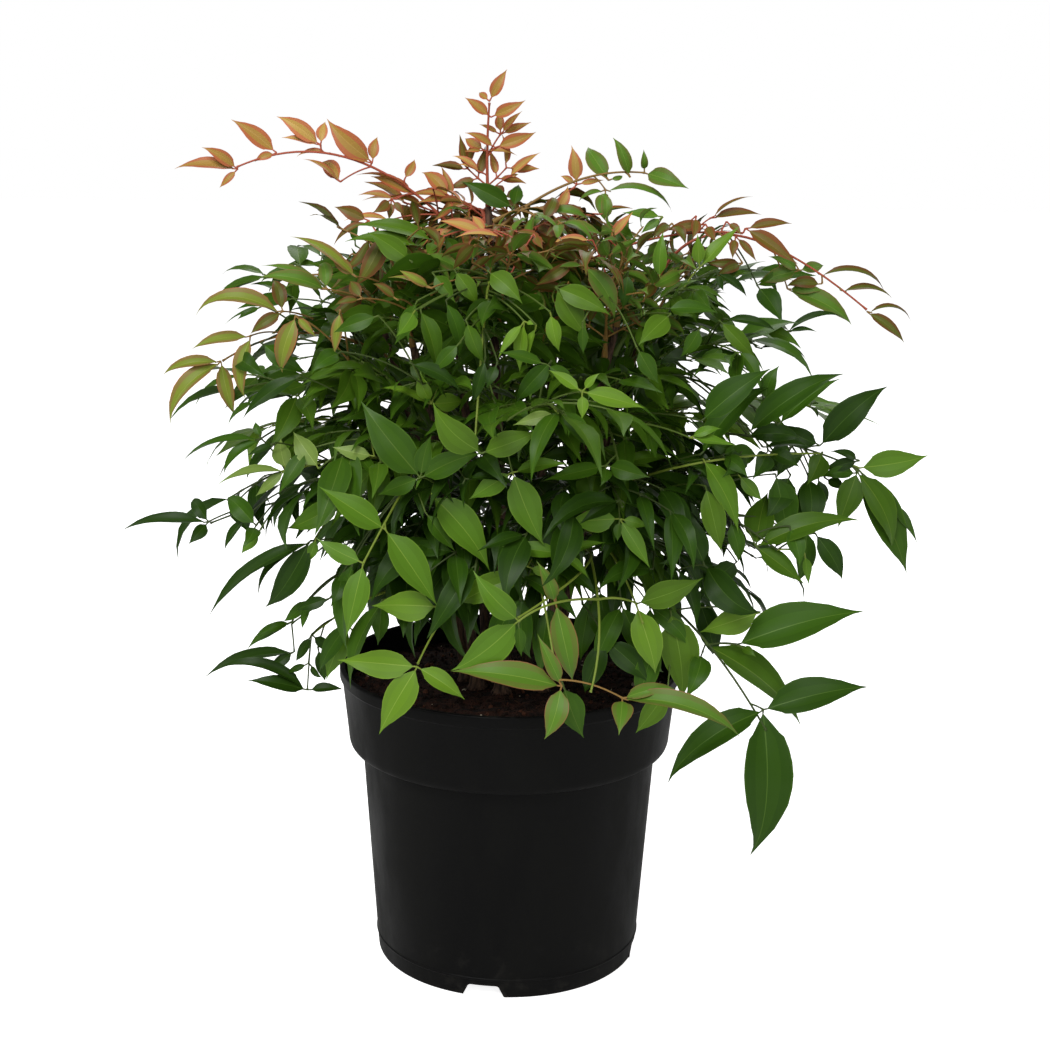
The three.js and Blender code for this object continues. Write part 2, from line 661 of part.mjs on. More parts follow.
/** A straight three-sided twig: its rings and the convex piece they bound. */
function twigBetween(from, to, normal, radiusFrom, radiusTo) {
  const tangent = to.clone().sub(from).normalize();
  const points = [
    ...ringPoints(from, tangent, normal, radiusFrom, 3),
    ...ringPoints(to, tangent, normal, radiusTo, 3),
  ];
  const triangles = tubeTriangles(2, 3);
  return { points, triangles, hull: convexPiece(points, triangles) };
}

const LEAFLET_TRIANGLES = [
  [0, 2, 4], [2, 1, 4], [1, 3, 4], [3, 0, 4],
  [0, 5, 2], [2, 5, 1], [1, 5, 3], [3, 5, 0],
];
const ALL_TRIPLES = [];
for (let a = 0; a < 6; a++) {
  for (let b = a + 1; b < 6; b++) {
    for (let c = b + 1; c < 6; c++) ALL_TRIPLES.push([a, b, c]);
  }
}

/** A pointed leaflet of eight faces, folded along its midrib and arched to its tip. */
function leafletAt(base, direction, normal, twist, length) {
  const level = new THREE.Vector3().crossVectors(direction, normal).normalize();
  const across = level.applyAxisAngle(direction, twist);
  const face = new THREE.Vector3().crossVectors(across, direction);
  const middle = along(along(base, direction, LEAFLET.widest * length), face, LEAFLET.arch * length);
  const lifted = along(middle, face, LEAFLET.fold * length);
  const half = (LEAFLET.width * length) / 2;
  const thick = (LEAFLET.thickness * length) / 2;
  const points = [
    base,
    along(along(base, direction, length), face, -LEAFLET.tipDrop * length),
    along(lifted, across, half),
    along(lifted, across, -half),
    along(middle, face, thick),
    along(middle, face, -thick),
  ];
  return { points, triangles: LEAFLET_TRIANGLES, hull: convexPiece(points, ALL_TRIPLES) };
}

/** A direction bent down by an angle in degrees. */
function drooped(direction, angle) {
  return direction.clone().addScaledVector(UP, -Math.tan(radians(angle))).normalize();
}

/** The directions along, across and square to a leaf where its stalk has a tangent. */
function leafFrame(spec, line, tangent) {
  const level = tangent.clone().setZ(0);
  const steep = level.length() < 0.3;
  const out = spec.facing !== undefined ? heading(spec.facing) : steep ? leadOf(line) : level.normalize();
  const flat = new THREE.Vector3().crossVectors(out, UP);
  const across = flat.addScaledVector(tangent, -flat.dot(tangent)).normalize();
  across.applyAxisAngle(tangent, radians(spec.roll ?? 0));
  return { tangent, across, normal: new THREE.Vector3().crossVectors(across, tangent).normalize() };
}

/** Grows one compound leaf on its stalk. A twig or leaflet that would touch a neighbour is left out. */
function growLeaf(spec, line, stalk, obstacles, seed) {
  const random = seeded(seed);
  const frameAt = (tangent) => leafFrame(spec, line, tangent);
  const parts = [];
  const roomBetween = (rootA, rootB) => (rootA === rootB ? -LEAFLET.rootOverlap : LEAFLET.clearance);
  const fits = ({ hull, points }, root) => points.every((point) => !inPot(point))
    && obstacles.every((other) => clearOf(hull, other, LEAFLET.clearance))
    && parts.every((own) => clearOf(hull, own.hull, roomBetween(own.root, root)))
    && (root <= spec.pinnae.length || stalk.hulls.every((own) => clearOf(hull, own, LEAFLET.clearance)));
  const addLeaflet = (base, direction, normal, length, root, droop = spec.droop) => {
    const turn = LEAFLET.turnSpread * (random() - 0.5);
    const sag = LEAFLET.sagSpread * (random() - 0.5);
    const twist = LEAFLET.twistSpread * (random() - 0.5);
    for (const { swing, bow, size } of LEAFLET_MOVES) {
      const swung = direction.clone().applyAxisAngle(normal, radians(turn + swing));
      const heads = drooped(swung, droop + sag + bow);
      const leaflet = leafletAt(base, heads, normal, radians(twist), length * size);
      if (fits(leaflet, root)) {
        parts.push({ ...leaflet, root });
        return;
      }
    }
  };

  const pairs = spec.pinnae.length;
  const bare = spec.bare ?? STALK.bare;
  const tip = frameAt(line.getTangent(1));
  const tipSeat = along(line.v2, tip.tangent, -LEAFLET.sunk);
  addLeaflet(tipSeat, tip.tangent, tip.normal, spec.leaflet, pairs, spec.endDroop ?? spec.droop);
  spec.pinnae.forEach((leaflets, pair) => {
    const part = mix(bare, 1, Math.sin((pair / pairs) * (Math.PI / 2)));
    const { tangent, across, normal } = frameAt(line.getTangent(part));
    const joint = onStalk(line, part);
    for (const side of [-1, 1]) {
      const size = spec.leaflet * mix(LEAFLET.smallest, LEAFLET.largest, random());
      const splay = radians(leaflets > 1 ? PINNA.splay : LEAFLET.splay);
      const forward = tangent.clone().multiplyScalar(Math.cos(splay));
      const lead = along(forward, across, side * Math.sin(splay));
      if (leaflets === 1) {
        addLeaflet(along(joint, lead, -LEAFLET.jointSunk), lead, normal, size, pair);
        continue;
      }
      const reach = drooped(lead, spec.droop * PINNA.droop);
      const end = along(joint, reach, PINNA.length * spec.leaflet);
      const twig = twigBetween(joint, end, normal, PINNA.radius, PINNA.tipRadius);
      if (!fits(twig, pair)) continue;
      const root = pairs + 1 + 2 * pair + (side + 1) / 2;
      parts.push({ ...twig, root });
      addLeaflet(along(end, reach, -LEAFLET.sunk), reach, normal, PINNA.endSize * size, root);
      for (const turn of [-LEAFLET.splay, LEAFLET.splay]) {
        const aside = reach.clone().applyAxisAngle(normal, radians(turn));
        addLeaflet(along(end, reach, -PINNA.sideBack), aside, normal, PINNA.sideSize * size, root);
      }
    }
  });
  return parts;
}

/** The stalk of a compound leaf, three-sided and tapered. */
function makeStalk(line) {
  const across = new THREE.Vector3().crossVectors(leadOf(line), UP);
  const rings = Array.from({ length: STALK.segments + 1 }, (_, i) => {
    const part = i / STALK.segments;
    const tangent = line.getTangent(part);
    const normal = new THREE.Vector3().crossVectors(across, tangent).normalize();
    return ringPoints(line.getPoint(part), tangent, normal, mix(STALK.baseRadius, STALK.tipRadius, part), 3);
  });
  const shell = tubeTriangles(2, 3);
  return {
    points: rings.flat(),
    triangles: tubeTriangles(rings.length, 3),
    hulls: rings.slice(1).map((ring, i) => convexPiece([...rings[i], ...ring], shell)),
  };
}

/** Every compound leaf as a mesh: the stalks are routed first, then the leaflets grow between them. */
function makeLeaves(canes) {
  const taken = [];
  const routed = [];
  for (const spec of withTipLeaves([...FEATURE_LEAVES, ...fillLeaves()])) {
    const line = routeStalk(spec, canes, taken);
    if (!line) continue;
    taken.push(...stretchesOf(line, STALK.segments));
    routed.push({ spec, line, stalk: makeStalk(line) });
  }
  const limbs = canes.flatMap((cane) => cane.pieces);
  const grown = [];
  return routed.map(({ spec, line, stalk }, i) => {
    const otherStalks = routed.filter((_, j) => j !== i).flatMap((other) => other.stalk.hulls);
    const obstacles = [...limbs, ...otherStalks, ...grown];
    for (let attempt = 0; attempt < ATTEMPTS; attempt++) {
      const parts = growLeaf(spec, line, stalk, obstacles, i + 1 + attempt * routed.length);
      let solid = solidOf(closedGeometry(stalk.points, stalk.triangles));
      for (const part of parts) solid = solid.add(solidOf(closedGeometry(part.points, part.triangles)));
      const geometry = griddedGeometry(solid);
      if (!geometry) continue;
      grown.push(...parts.map((part) => part.hull));
      return piece(`leaf_${spec.name}`, geometry, TINTS[spec.tint], 0.5);
    }
    throw new Error(`leaf_${spec.name} doesn't close`);
  });
}

// ---------------------------------------------------------------- the plant

const group = new THREE.Group();
const canes = CANES.map(makeCane);
group.add(makePot(), makeSoil(), ...canes.map((cane) => cane.mesh), ...makeLeaves(canes));

export default group;
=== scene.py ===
"""Heavenly bamboo in a round nursery pot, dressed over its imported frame.

Lengths in the tables are millimetres and meshes are made in metres. +Z is up, and the origin is the
middle of the pot's underside. Azimuths are degrees from +X towards +Y, so the front is at -90.
"""

import bisect
import json
import logging
import math
from dataclasses import dataclass, field, replace
from enum import Enum, IntEnum
from typing import Callable, Iterable, Sequence

import bpy
from bpy.types import Material, Mesh, Node, NodeSocket, NodeTree, Object
from mathutils import Matrix, Quaternion, Vector, noise
from mathutils.bvhtree import BVHTree

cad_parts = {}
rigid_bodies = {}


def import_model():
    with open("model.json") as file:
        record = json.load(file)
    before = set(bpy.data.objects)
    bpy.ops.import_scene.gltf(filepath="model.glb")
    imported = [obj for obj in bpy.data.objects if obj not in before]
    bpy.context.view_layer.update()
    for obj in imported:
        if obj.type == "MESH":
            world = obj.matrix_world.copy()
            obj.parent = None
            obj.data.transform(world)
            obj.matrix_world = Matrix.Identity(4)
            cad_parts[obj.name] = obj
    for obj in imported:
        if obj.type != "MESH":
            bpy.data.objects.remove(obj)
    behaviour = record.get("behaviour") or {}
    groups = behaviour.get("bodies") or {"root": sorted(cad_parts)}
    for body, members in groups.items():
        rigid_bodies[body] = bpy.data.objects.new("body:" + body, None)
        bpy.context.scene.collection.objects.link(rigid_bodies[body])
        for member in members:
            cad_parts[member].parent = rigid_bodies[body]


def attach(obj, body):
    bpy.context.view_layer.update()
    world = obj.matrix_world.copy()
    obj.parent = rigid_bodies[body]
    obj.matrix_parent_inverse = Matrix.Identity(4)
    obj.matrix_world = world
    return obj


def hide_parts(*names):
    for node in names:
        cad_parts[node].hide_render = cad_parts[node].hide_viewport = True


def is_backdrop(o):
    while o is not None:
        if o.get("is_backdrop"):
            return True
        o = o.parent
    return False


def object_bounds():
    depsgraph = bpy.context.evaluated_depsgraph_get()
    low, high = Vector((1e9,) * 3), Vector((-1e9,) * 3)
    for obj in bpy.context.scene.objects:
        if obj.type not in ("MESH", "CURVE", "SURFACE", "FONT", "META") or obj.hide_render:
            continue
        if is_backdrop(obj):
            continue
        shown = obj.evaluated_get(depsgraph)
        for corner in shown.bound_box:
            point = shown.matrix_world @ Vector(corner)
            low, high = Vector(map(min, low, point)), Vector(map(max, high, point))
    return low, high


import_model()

log = logging.getLogger("heavenly_bamboo")

MM = 0.001
UP = Vector((0.0, 0.0, 1.0))
GOLDEN_ANGLE = 137.508
# The gap between a cane or stalk and what carries it.
SEAT_GAP = 0.3
# Where the camera stands, and the way to it from the crown.
EYE = Vector((9.05, -1230.88, 599.25))
FRONT = Vector((0.0, -0.97, 0.24))
BODY = "root"


class Tint(Enum):
    """The leaf colours of the plant, from the youngest growth to the oldest."""

    BRONZE = "bronze"
    FRESH = "fresh"
    BRIGHT = "bright"
    GREEN = "green"
    DARK = "dark"


class Habit(Enum):
    """How a leaflet carries itself."""

    FLAT = "flat"
    ARCHED = "arched"
    CLAWED = "clawed"
    YOUNG = "young"


class Zone(IntEnum):
    """The parts of a leaflet that have a colour of their own."""

    BLADE = 0
    FLUSH = 1
    MARGIN = 2
    RIB = 3


# ---------------------------------------------------------------- small helpers


def mix(low: float, high: float, part: float) -> float:
    """The value a part of the way from low to high."""
    return low + (high - low) * part


def clamp(value: float, low: float, high: float) -> float:
    """The value kept between low and high."""
    return max(low, min(high, value))


def heading(azimuth: float) -> Vector:
    """The level direction that points to an azimuth in degrees."""
    return Vector((math.cos(math.radians(azimuth)), math.sin(math.radians(azimuth)), 0.0))


def turned(direction: Vector, axis: Vector, degrees: float) -> Vector:
    """A direction turned round an axis by an angle in degrees."""
    return Quaternion(axis, math.radians(degrees)) @ direction


def drooped(direction: Vector, degrees: float) -> Vector:
    """A direction bent down by an angle in degrees."""
    return (direction - UP * math.tan(math.radians(degrees))).normalized()


def linear(colour: str) -> tuple[float, float, float, float]:
    """A hex colour as the linear red, green, blue and alpha that sockets take.

    Args:
        colour: A colour such as "#47742c".

    Returns:
        Four numbers from 0 to 1.
    """
    levels = [int(colour[i : i + 2], 16) / 255 for i in (1, 3, 5)]
    red, green, blue = (v / 12.92 if v <= 0.04045 else ((v + 0.055) / 1.055) ** 2.4 for v in levels)
    return red, green, blue, 1.0


class SeededDraw:
    """Numbers from 0 to 1 that are the same in every run."""

    MASK = 0xFFFFFFFF
    STEP = 0x6D2B79F5

    def __init__(self, seed: int) -> None:
        """Starts the sequence of a seed."""
        self.state = seed & self.MASK

    def __call__(self) -> float:
        """The next number of the sequence.

        Returns:
            The number.
        """
        self.state = (self.state + self.STEP) & self.MASK
        mixed = ((self.state ^ (self.state >> 15)) * (self.state | 1)) & self.MASK
        mixed ^= (mixed + (((mixed ^ (mixed >> 7)) * (mixed | 61)) & self.MASK)) & self.MASK
        return (mixed ^ (mixed >> 14)) / (self.MASK + 1)

    def between(self, low: float, high: float) -> float:
        """The next number, spread from low to high."""
        return mix(low, high, self())

    def pick(self, count: int) -> int:
        """The next number as one of the whole numbers below count."""
        return min(int(self() * count), count - 1)


@dataclass(frozen=True)
class Arc:
    """A quadratic curve from its start, bent towards a knee, to its end."""

    start: Vector
    knee: Vector
    end: Vector

    def point(self, part: float) -> Vector:
        """The point at a part of the curve."""
        rest = 1 - part
        return self.start * (rest * rest) + self.knee * (2 * rest * part) + self.end * (part * part)

    def tangent(self, part: float) -> Vector:
        """The unit direction at a part of the curve."""
        return ((self.knee - self.start) * (1 - part) + (self.end - self.knee) * part).normalized()

    def length(self, steps: int = 200) -> float:
        """The length of the curve, measured in straight steps."""
        points = [self.point(i / steps) for i in range(steps + 1)]
        return sum((b - a).length for a, b in zip(points, points[1:]))

    def stretches(self, count: int) -> list[tuple[Vector, Vector]]:
        """The curve as straight stretches of equal parts."""
        points = [self.point(i / count) for i in range(count + 1)]
        return list(zip(points, points[1:]))


def stretch_distance(a0: Vector, a1: Vector, b0: Vector, b1: Vector) -> float:
    """The shortest distance between two straight stretches.

    Args:
        a0: Start of the first stretch.
        a1: End of the first stretch.
        b0: Start of the second stretch.
        b1: End of the second stretch.

    Returns:
        The distance in millimetres.
    """
    u, v, w = a1 - a0, b1 - b0, a0 - b0
    a, b, c, d, e = u.dot(u), u.dot(v), v.dot(v), u.dot(w), v.dot(w)
    square = a * c - b * b
    s = clamp((b * e - c * d) / square, 0, 1) if square > 1e-9 else 0.0
    t = clamp((b * s + e) / c, 0, 1)
    s = clamp((b * t - d) / a, 0, 1)
    return ((a0 + u * s) - (b0 + v * t)).length


def mesh_of(name: str, points: Sequence[Vector], faces: Sequence[Sequence[int]]) -> Mesh:
    """A mesh in metres from points in millimetres.

    Args:
        name: Name of the mesh.
        points: Its points, in millimetres.
        faces: The corners of each face, anticlockwise from outside.

    Returns:
        The mesh.
    """
    mesh = bpy.data.meshes.new(name)
    mesh.from_pydata([tuple(p * MM) for p in points], [], [tuple(f) for f in faces])
    mesh.validate()
    mesh.update()
    return mesh


def object_of(mesh: Mesh) -> Object:
    """Puts a mesh in the scene.

    Args:
        mesh: The mesh.

    Returns:
        An object of the mesh's name.
    """
    made = bpy.data.objects.new(mesh.name, mesh)
    bpy.context.scene.collection.objects.link(made)
    return made


def bake_mesh(piece: Object) -> None:
    """Turns a piece into the plain mesh that its modifiers leave, and clears them.

    Args:
        piece: The piece.
    """
    depsgraph = bpy.context.evaluated_depsgraph_get()
    mesh = bpy.data.meshes.new_from_object(piece.evaluated_get(depsgraph), depsgraph=depsgraph)
    piece.modifiers.clear()
    old, piece.data = piece.data, mesh
    bpy.data.meshes.remove(old)
    mesh.name = piece.name


def smooth(piece: Object, edge_angle: float | None = None) -> None:
    """Shades a piece smooth, but for edges that turn by more than an angle in degrees."""
    piece.data.polygons.foreach_set("use_smooth", [True] * len(piece.data.polygons))
    if edge_angle is not None:
        piece.data.set_sharp_from_angle(angle=math.radians(edge_angle))


def closed_faces(rings: int, sides: int, first: int, foot: int, crown: int) -> list[tuple[int, ...]]:
    """The faces of a closed solid made of rings of points.

    Args:
        rings: How many rings there are.
        sides: How many points each has.
        first: Number of the first ring's first point.
        foot: Number of the point that closes the first ring.
        crown: Number of the point that closes the last one.

    Returns:
        The corners of each face.
    """
    faces: list[tuple[int, ...]] = []
    last = first + (rings - 1) * sides
    for side in range(sides):
        beside = (side + 1) % sides
        faces += [(foot, first + beside, first + side), (crown, last + side, last + beside)]
        faces += [
            (low + side, low + beside, low + sides + beside, low + sides + side)
            for low in range(first, last, sides)]
    return faces


def lathe(name: str, profile: Sequence[tuple[float, float]], sides: int) -> Mesh:
    """A closed turned solid from a profile that starts and ends on the axis.

    Args:
        name: Name of the mesh.
        profile: Points of radius and height, from the foot of the axis outwards and back to it.
        sides: How many sides the solid has round its axis.

    Returns:
        The solid's mesh.
    """
    points = [Vector((0, 0, profile[0][1])), Vector((0, 0, profile[-1][1]))]
    rings = profile[1:-1]
    for radius, height in rings:
        for side in range(sides):
            turn = 2 * math.pi * side / sides
            points.append(Vector((radius * math.cos(turn), radius * math.sin(turn), height)))
    return mesh_of(name, points, closed_faces(len(rings), sides, 2, 0, 1))


def eased(
    start: tuple[float, float], corner: tuple[float, float], end: tuple[float, float], steps: int = 5
) -> list[tuple[float, float]]:
    """Profile points that round a corner.

    Args:
        start: Where the rounding starts, as radius and height.
        corner: The sharp corner that it replaces.
        end: Where the rounding ends.
        steps: How many steps it is made in.

    Returns:
        The points, with both ends.
    """
    made = []
    for i in range(steps + 1):
        part, rest = i / steps, 1 - i / steps
        made.append(tuple(
            rest * rest * start[axis] + 2 * rest * part * corner[axis] + part * part * end[axis]
            for axis in (0, 1)
        ))
    return made


# ---------------------------------------------------------------- node trees

VECTOR, NUMBER = "NodeSocketVector", "NodeSocketFloat"


class Bench:
    """Puts nodes into a tree and joins them up."""

    def __init__(self, tree: NodeTree) -> None:
        """Works on one tree."""
        self.tree = tree

    def add(self, kind: str, inputs: dict | None = None, **settings: object) -> Node:
        """Adds a node.

        Args:
            kind: The node's type name.
            inputs: Its inputs, as wire() takes them.
            **settings: The node's own properties.

        Returns:
            The node.
        """
        node = self.tree.nodes.new(kind)
        for key, value in settings.items():
            setattr(node, key, value)
        self.wire(node, inputs or {})
        return node

    def wire(self, node: Node, inputs: dict) -> None:
        """Links or sets a node's inputs.

        Args:
            node: The node.
            inputs: Sockets by name or number, each with a value or an output to link from.
        """
        for key, value in inputs.items():
            if isinstance(value, NodeSocket):
                self.tree.links.new(value, node.inputs[key])
            else:
                node.inputs[key].default_value = value

    def out(self, kind: str, inputs: dict | None = None, **settings: object) -> NodeSocket:
        """The first live output of a node that is added in the same way."""
        return next(s for s in self.add(kind, inputs, **settings).outputs if s.enabled)

    def math(self, operation: str, *values: object) -> NodeSocket:
        """The result of a maths node on numbers or outputs."""
        return self.out("ShaderNodeMath", dict(enumerate(values)), operation=operation)

    def attribute(self, name: str, kind: str) -> NodeSocket:
        """A named attribute of the geometry, read as that kind of data."""
        return self.out("GeometryNodeInputNamedAttribute", {"Name": name}, data_type=kind)

    def equals(self, value: NodeSocket, number: int) -> NodeSocket:
        """True where a whole number has that value."""
        return self.out("FunctionNodeCompare", {2: value, 3: number}, data_type="INT", operation="EQUAL")

    def below(self, value: NodeSocket, limit: NodeSocket) -> NodeSocket:
        """True where a number is below a limit."""
        return self.out("FunctionNodeCompare", {0: value, 1: limit}, operation="LESS_THAN")

    def scaled(self, vector: NodeSocket, factor: NodeSocket) -> NodeSocket:
        """A vector times a number."""
        return self.out("ShaderNodeVectorMath", {0: vector, 3: factor}, operation="SCALE")

    def upward(self, vector: NodeSocket) -> NodeSocket:
        """The Z part of a vector."""
        return self.add("ShaderNodeSeparateXYZ", {0: vector}).outputs["Z"]

    def noise(self, where: NodeSocket, scale: object, detail: float, roughness: float = 0.5) -> NodeSocket:
        """The grey value of a noise pattern."""
        return self.out("ShaderNodeTexNoise", {
            "Vector": where, "Scale": scale, "Detail": detail, "Roughness": roughness})

    def eased(self, value: NodeSocket, low: object, high: object) -> NodeSocket:
        """A value as 0 at its low mark, 1 at its high one, and eased between."""
        return self.out("ShaderNodeMapRange", {
            "Value": value, "From Min": low, "From Max": high}, interpolation_type="SMOOTHSTEP")

    def spread(self, value: NodeSocket, low: object, high: object) -> NodeSocket:
        """A value from 0 to 1 spread from low to high."""
        return self.out("ShaderNodeMapRange", {"Value": value, "To Min": low, "To Max": high})

    def blend(self, share: NodeSocket, first: object, second: object) -> NodeSocket:
        """Two colours, mixed by the second's share."""
        return self.out("ShaderNodeMix", {0: share, 6: first, 7: second}, data_type="RGBA")

    def random(self, low: object, high: object, seed: NodeSocket) -> NodeSocket:
        """A random number, or a random vector where low and high are vectors."""
        kind, first = ("FLOAT_VECTOR", 0) if isinstance(low, tuple) else ("FLOAT", 2)
        return self.out("FunctionNodeRandomValue", {first: low, first + 1: high, "Seed": seed}, data_type=kind)

    def relief(self, height: NodeSocket, strength: float, depth: float) -> NodeSocket:
        """A surface's direction with a pattern raised on it."""
        return self.out("ShaderNodeBump", {"Height": height, "Strength": strength, "Distance": depth})

    def place(self, stretch: float = 1.0) -> NodeSocket:
        """The place on the piece, with patterns drawn out along Z where stretch is below 1."""
        place = self.add("ShaderNodeTexCoord").outputs["Object"]
        return self.out("ShaderNodeMapping", {"Vector": place, "Scale": (1.0, 1.0, stretch)})


def open_inputs(tree: NodeTree, inputs: dict[str, tuple[str, object]]) -> None:
    """Gives a tree its named inputs.

    Args:
        tree: The tree.
        inputs: For each name, the socket's kind and the value that it starts from, or None.
    """
    for label, (kind, value) in inputs.items():
        socket = tree.interface.new_socket(label, in_out="INPUT", socket_type=kind)
        if value is not None:
            socket.default_value = value


@dataclass
class Recipe:
    """A Geometry Nodes tree with named inputs for its sizes."""

    name: str
    sizes: dict[str, tuple[str, object]]
    tree: NodeTree = field(init=False)
    bench: Bench = field(init=False)
    given: bpy.types.NodeOutputs = field(init=False)

    def __post_init__(self) -> None:
        """Makes the tree with its inputs, and one output."""
        self.tree = bpy.data.node_groups.new(self.name, "GeometryNodeTree")
        self.tree.is_modifier = True
        open_inputs(self.tree, {"Geometry": ("NodeSocketGeometry", None), **self.sizes})
        self.tree.interface.new_socket("Geometry", in_out="OUTPUT", socket_type="NodeSocketGeometry")
        self.bench = Bench(self.tree)
        self.given = self.bench.add("NodeGroupInput").outputs

    def finish(self, geometry: NodeSocket) -> None:
        """Joins the last geometry to the tree's output."""
        self.bench.add("NodeGroupOutput", {"Geometry": geometry})

    def cook(self, piece: Object, values: dict[str, object]) -> None:
        """Runs the tree on a piece and leaves the result as its plain mesh.

        Args:
            piece: The object that carries the tree's input geometry.
            values: The inputs by name. The others keep their defaults.
        """
        modifier = piece.modifiers.new(self.name, "NODES")
        modifier.node_group = self.tree
        for item in self.tree.interface.items_tree:
            if item.in_out == "INPUT" and item.name in values:
                modifier[item.identifier] = values[item.name]
        bake_mesh(piece)


@dataclass(frozen=True)
class Dealt:
    """A finish for the faces that carry a tone number and, if it matters, a zone number."""

    material: Material
    tone: int
    zone: int | None = None


def realize(bench: Bench, instances: NodeSocket, dealt: Iterable[Dealt]) -> NodeSocket:
    """Turns instances into smooth geometry and deals finishes out by the tone and zone of its faces.

    Args:
        bench: Where the nodes go.
        instances: The instances.
        dealt: The finishes and the numbers they belong to.

    Returns:
        The geometry with its materials.
    """
    whole = bench.out("GeometryNodeRealizeInstances", {0: instances})
    geometry = bench.out("GeometryNodeSetShadeSmooth", {"Geometry": whole})
    tone, zone = bench.attribute("tone", "INT"), bench.attribute("zone", "INT")
    for row in dealt:
        where = bench.equals(tone, row.tone)
        if row.zone is not None:
            in_zone = bench.equals(zone, row.zone)
            where = bench.out("FunctionNodeBooleanMath", {0: where, 1: in_zone}, operation="AND")
        geometry = bench.out("GeometryNodeSetMaterial", {
            "Geometry": geometry, "Selection": where, "Material": row.material})
    return geometry


# ---------------------------------------------------------------- effects shared by finishes


@dataclass
class Effect:
    """A shader node group with named inputs and outputs, built once and used by several finishes."""

    name: str
    inputs: dict[str, tuple[str, object]]
    build: Callable[[Bench, bpy.types.NodeOutputs], dict[str, NodeSocket]]
    group: NodeTree | None = None

    def tree(self) -> NodeTree:
        """The group's tree, made the first time it is asked for.

        Returns:
            The node group.
        """
        if self.group is None:
            self.group = bpy.data.node_groups.new(self.name, "ShaderNodeTree")
            open_inputs(self.group, self.inputs)
            bench = Bench(self.group)
            made = self.build(bench, bench.add("NodeGroupInput").outputs)
            for label in made:
                self.group.interface.new_socket(label, in_out="OUTPUT", socket_type=NUMBER)
            bench.add("NodeGroupOutput", made)
        return self.group

    def place(self, bench: Bench, inputs: dict[str, object]) -> bpy.types.NodeOutputs:
        """Puts the group into a material.

        Args:
            bench: The bench on the material's nodes.
            inputs: The material's own values, by name.

        Returns:
            The group's outputs.
        """
        node = bench.add("ShaderNodeGroup", node_tree=self.tree())
        bench.wire(node, inputs)
        return node.outputs


# The moulded grain: a slow mottle and a fine tooth.
GRAIN = Effect(
    "moulded_grain",
    {"Place": (VECTOR, None), "Mottle Scale": (NUMBER, 18.0), "Tooth Scale": (NUMBER, 900.0)},
    lambda bench, given: {
        "Mottle": bench.eased(bench.noise(given["Place"], given["Mottle Scale"], 5.0, 0.62), 0.36, 0.66),
        "Tooth": bench.noise(given["Place"], given["Tooth Scale"], 3.0, 0.55)},
)

# The dust that lies on ledges and gathers towards the foot.
DUST = Effect(
    "settled_dust",
    {"Place": (VECTOR, None), "Foot Top": (NUMBER, 0.06), "Speck Scale": (NUMBER, 70.0)},
    lambda bench, given: {"Dust": bench.math(
        "MULTIPLY",
        bench.math(
            "MAXIMUM", bench.eased(bench.upward(given["Place"]), given["Foot Top"], 0.0),
            bench.eased(bench.upward(bench.add("ShaderNodeNewGeometry").outputs["Normal"]), 0.35, 1.0)),
        bench.eased(bench.noise(given["Place"], given["Speck Scale"], 6.0, 0.72), 0.5, 0.74))},
)

# The rubbed edges: where the surface turns sharply, broken up by noise.
WEAR = Effect(
    "rubbed_edges",
    {"Place": (VECTOR, None), "Edge Start": (NUMBER, 0.53), "Edge End": (NUMBER, 0.6),
     "Patch Scale": (NUMBER, 60.0)},
    lambda bench, given: {"Wear": bench.math(
        "MULTIPLY",
        bench.eased(
            bench.add("ShaderNodeNewGeometry").outputs["Pointiness"], given["Edge Start"], given["Edge End"]),
        bench.eased(bench.noise(given["Place"], given["Patch Scale"], 4.0), 0.42, 0.62))},
)


# ---------------------------------------------------------------- finishes


@dataclass(frozen=True)
class Gloss:
    """How a finish takes the light."""

    roughness: float = 0.5
    specular: float = 0.5


def shader_of(name: str, gloss: Gloss) -> tuple[Material, Bench, Node]:
    """A new material with its Principled shader set to a gloss.

    Args:
        name: Name of the material.
        gloss: How it takes the light.

    Returns:
        The material, a bench on its nodes, and the shader.
    """
    material = bpy.data.materials.new(name)
    material.use_nodes = True
    bench = Bench(material.node_tree)
    shader = next(n for n in material.node_tree.nodes if n.type == "BSDF_PRINCIPLED")
    bench.wire(shader, {"Roughness": gloss.roughness, "Specular IOR Level": gloss.specular})
    return material, bench, shader


@dataclass(frozen=True)
class PlainFinish:
    """A finish of one colour, for the many small things of a piece."""

    name: str
    colour: str
    gloss: Gloss = Gloss()

    def material(self) -> Material:
        """The finish as a material.

        Returns:
            The material.
        """
        material, bench, shader = shader_of(self.name, self.gloss)
        bench.wire(shader, {"Base Color": linear(self.colour)})
        return material


@dataclass(frozen=True)
class LeafTone:
    """The colours of one leaflet: its blade near the midrib and farther out, its edge and its midrib."""

    blade: str
    flush: str
    margin: str
    rib: str


@dataclass(frozen=True)
class LeafFinish:
    """The waxy finish of one tint of leaves, in several tones that are dealt out by spray."""

    tint: Tint
    tones: tuple[LeafTone, ...]
    gloss: Gloss

    def dealt(self) -> list[Dealt]:
        """The materials of every tone and zone.

        Returns:
            One row for each tone and zone.
        """
        rows = []
        for number, tone in enumerate(self.tones):
            for zone, colour in zip(Zone, (tone.blade, tone.flush, tone.margin, tone.rib)):
                name = f"leaf_{self.tint.value}_{number + 1}_{zone.name.lower()}"
                rows.append(Dealt(PlainFinish(name, colour, self.gloss).material(), number, int(zone)))
        return rows


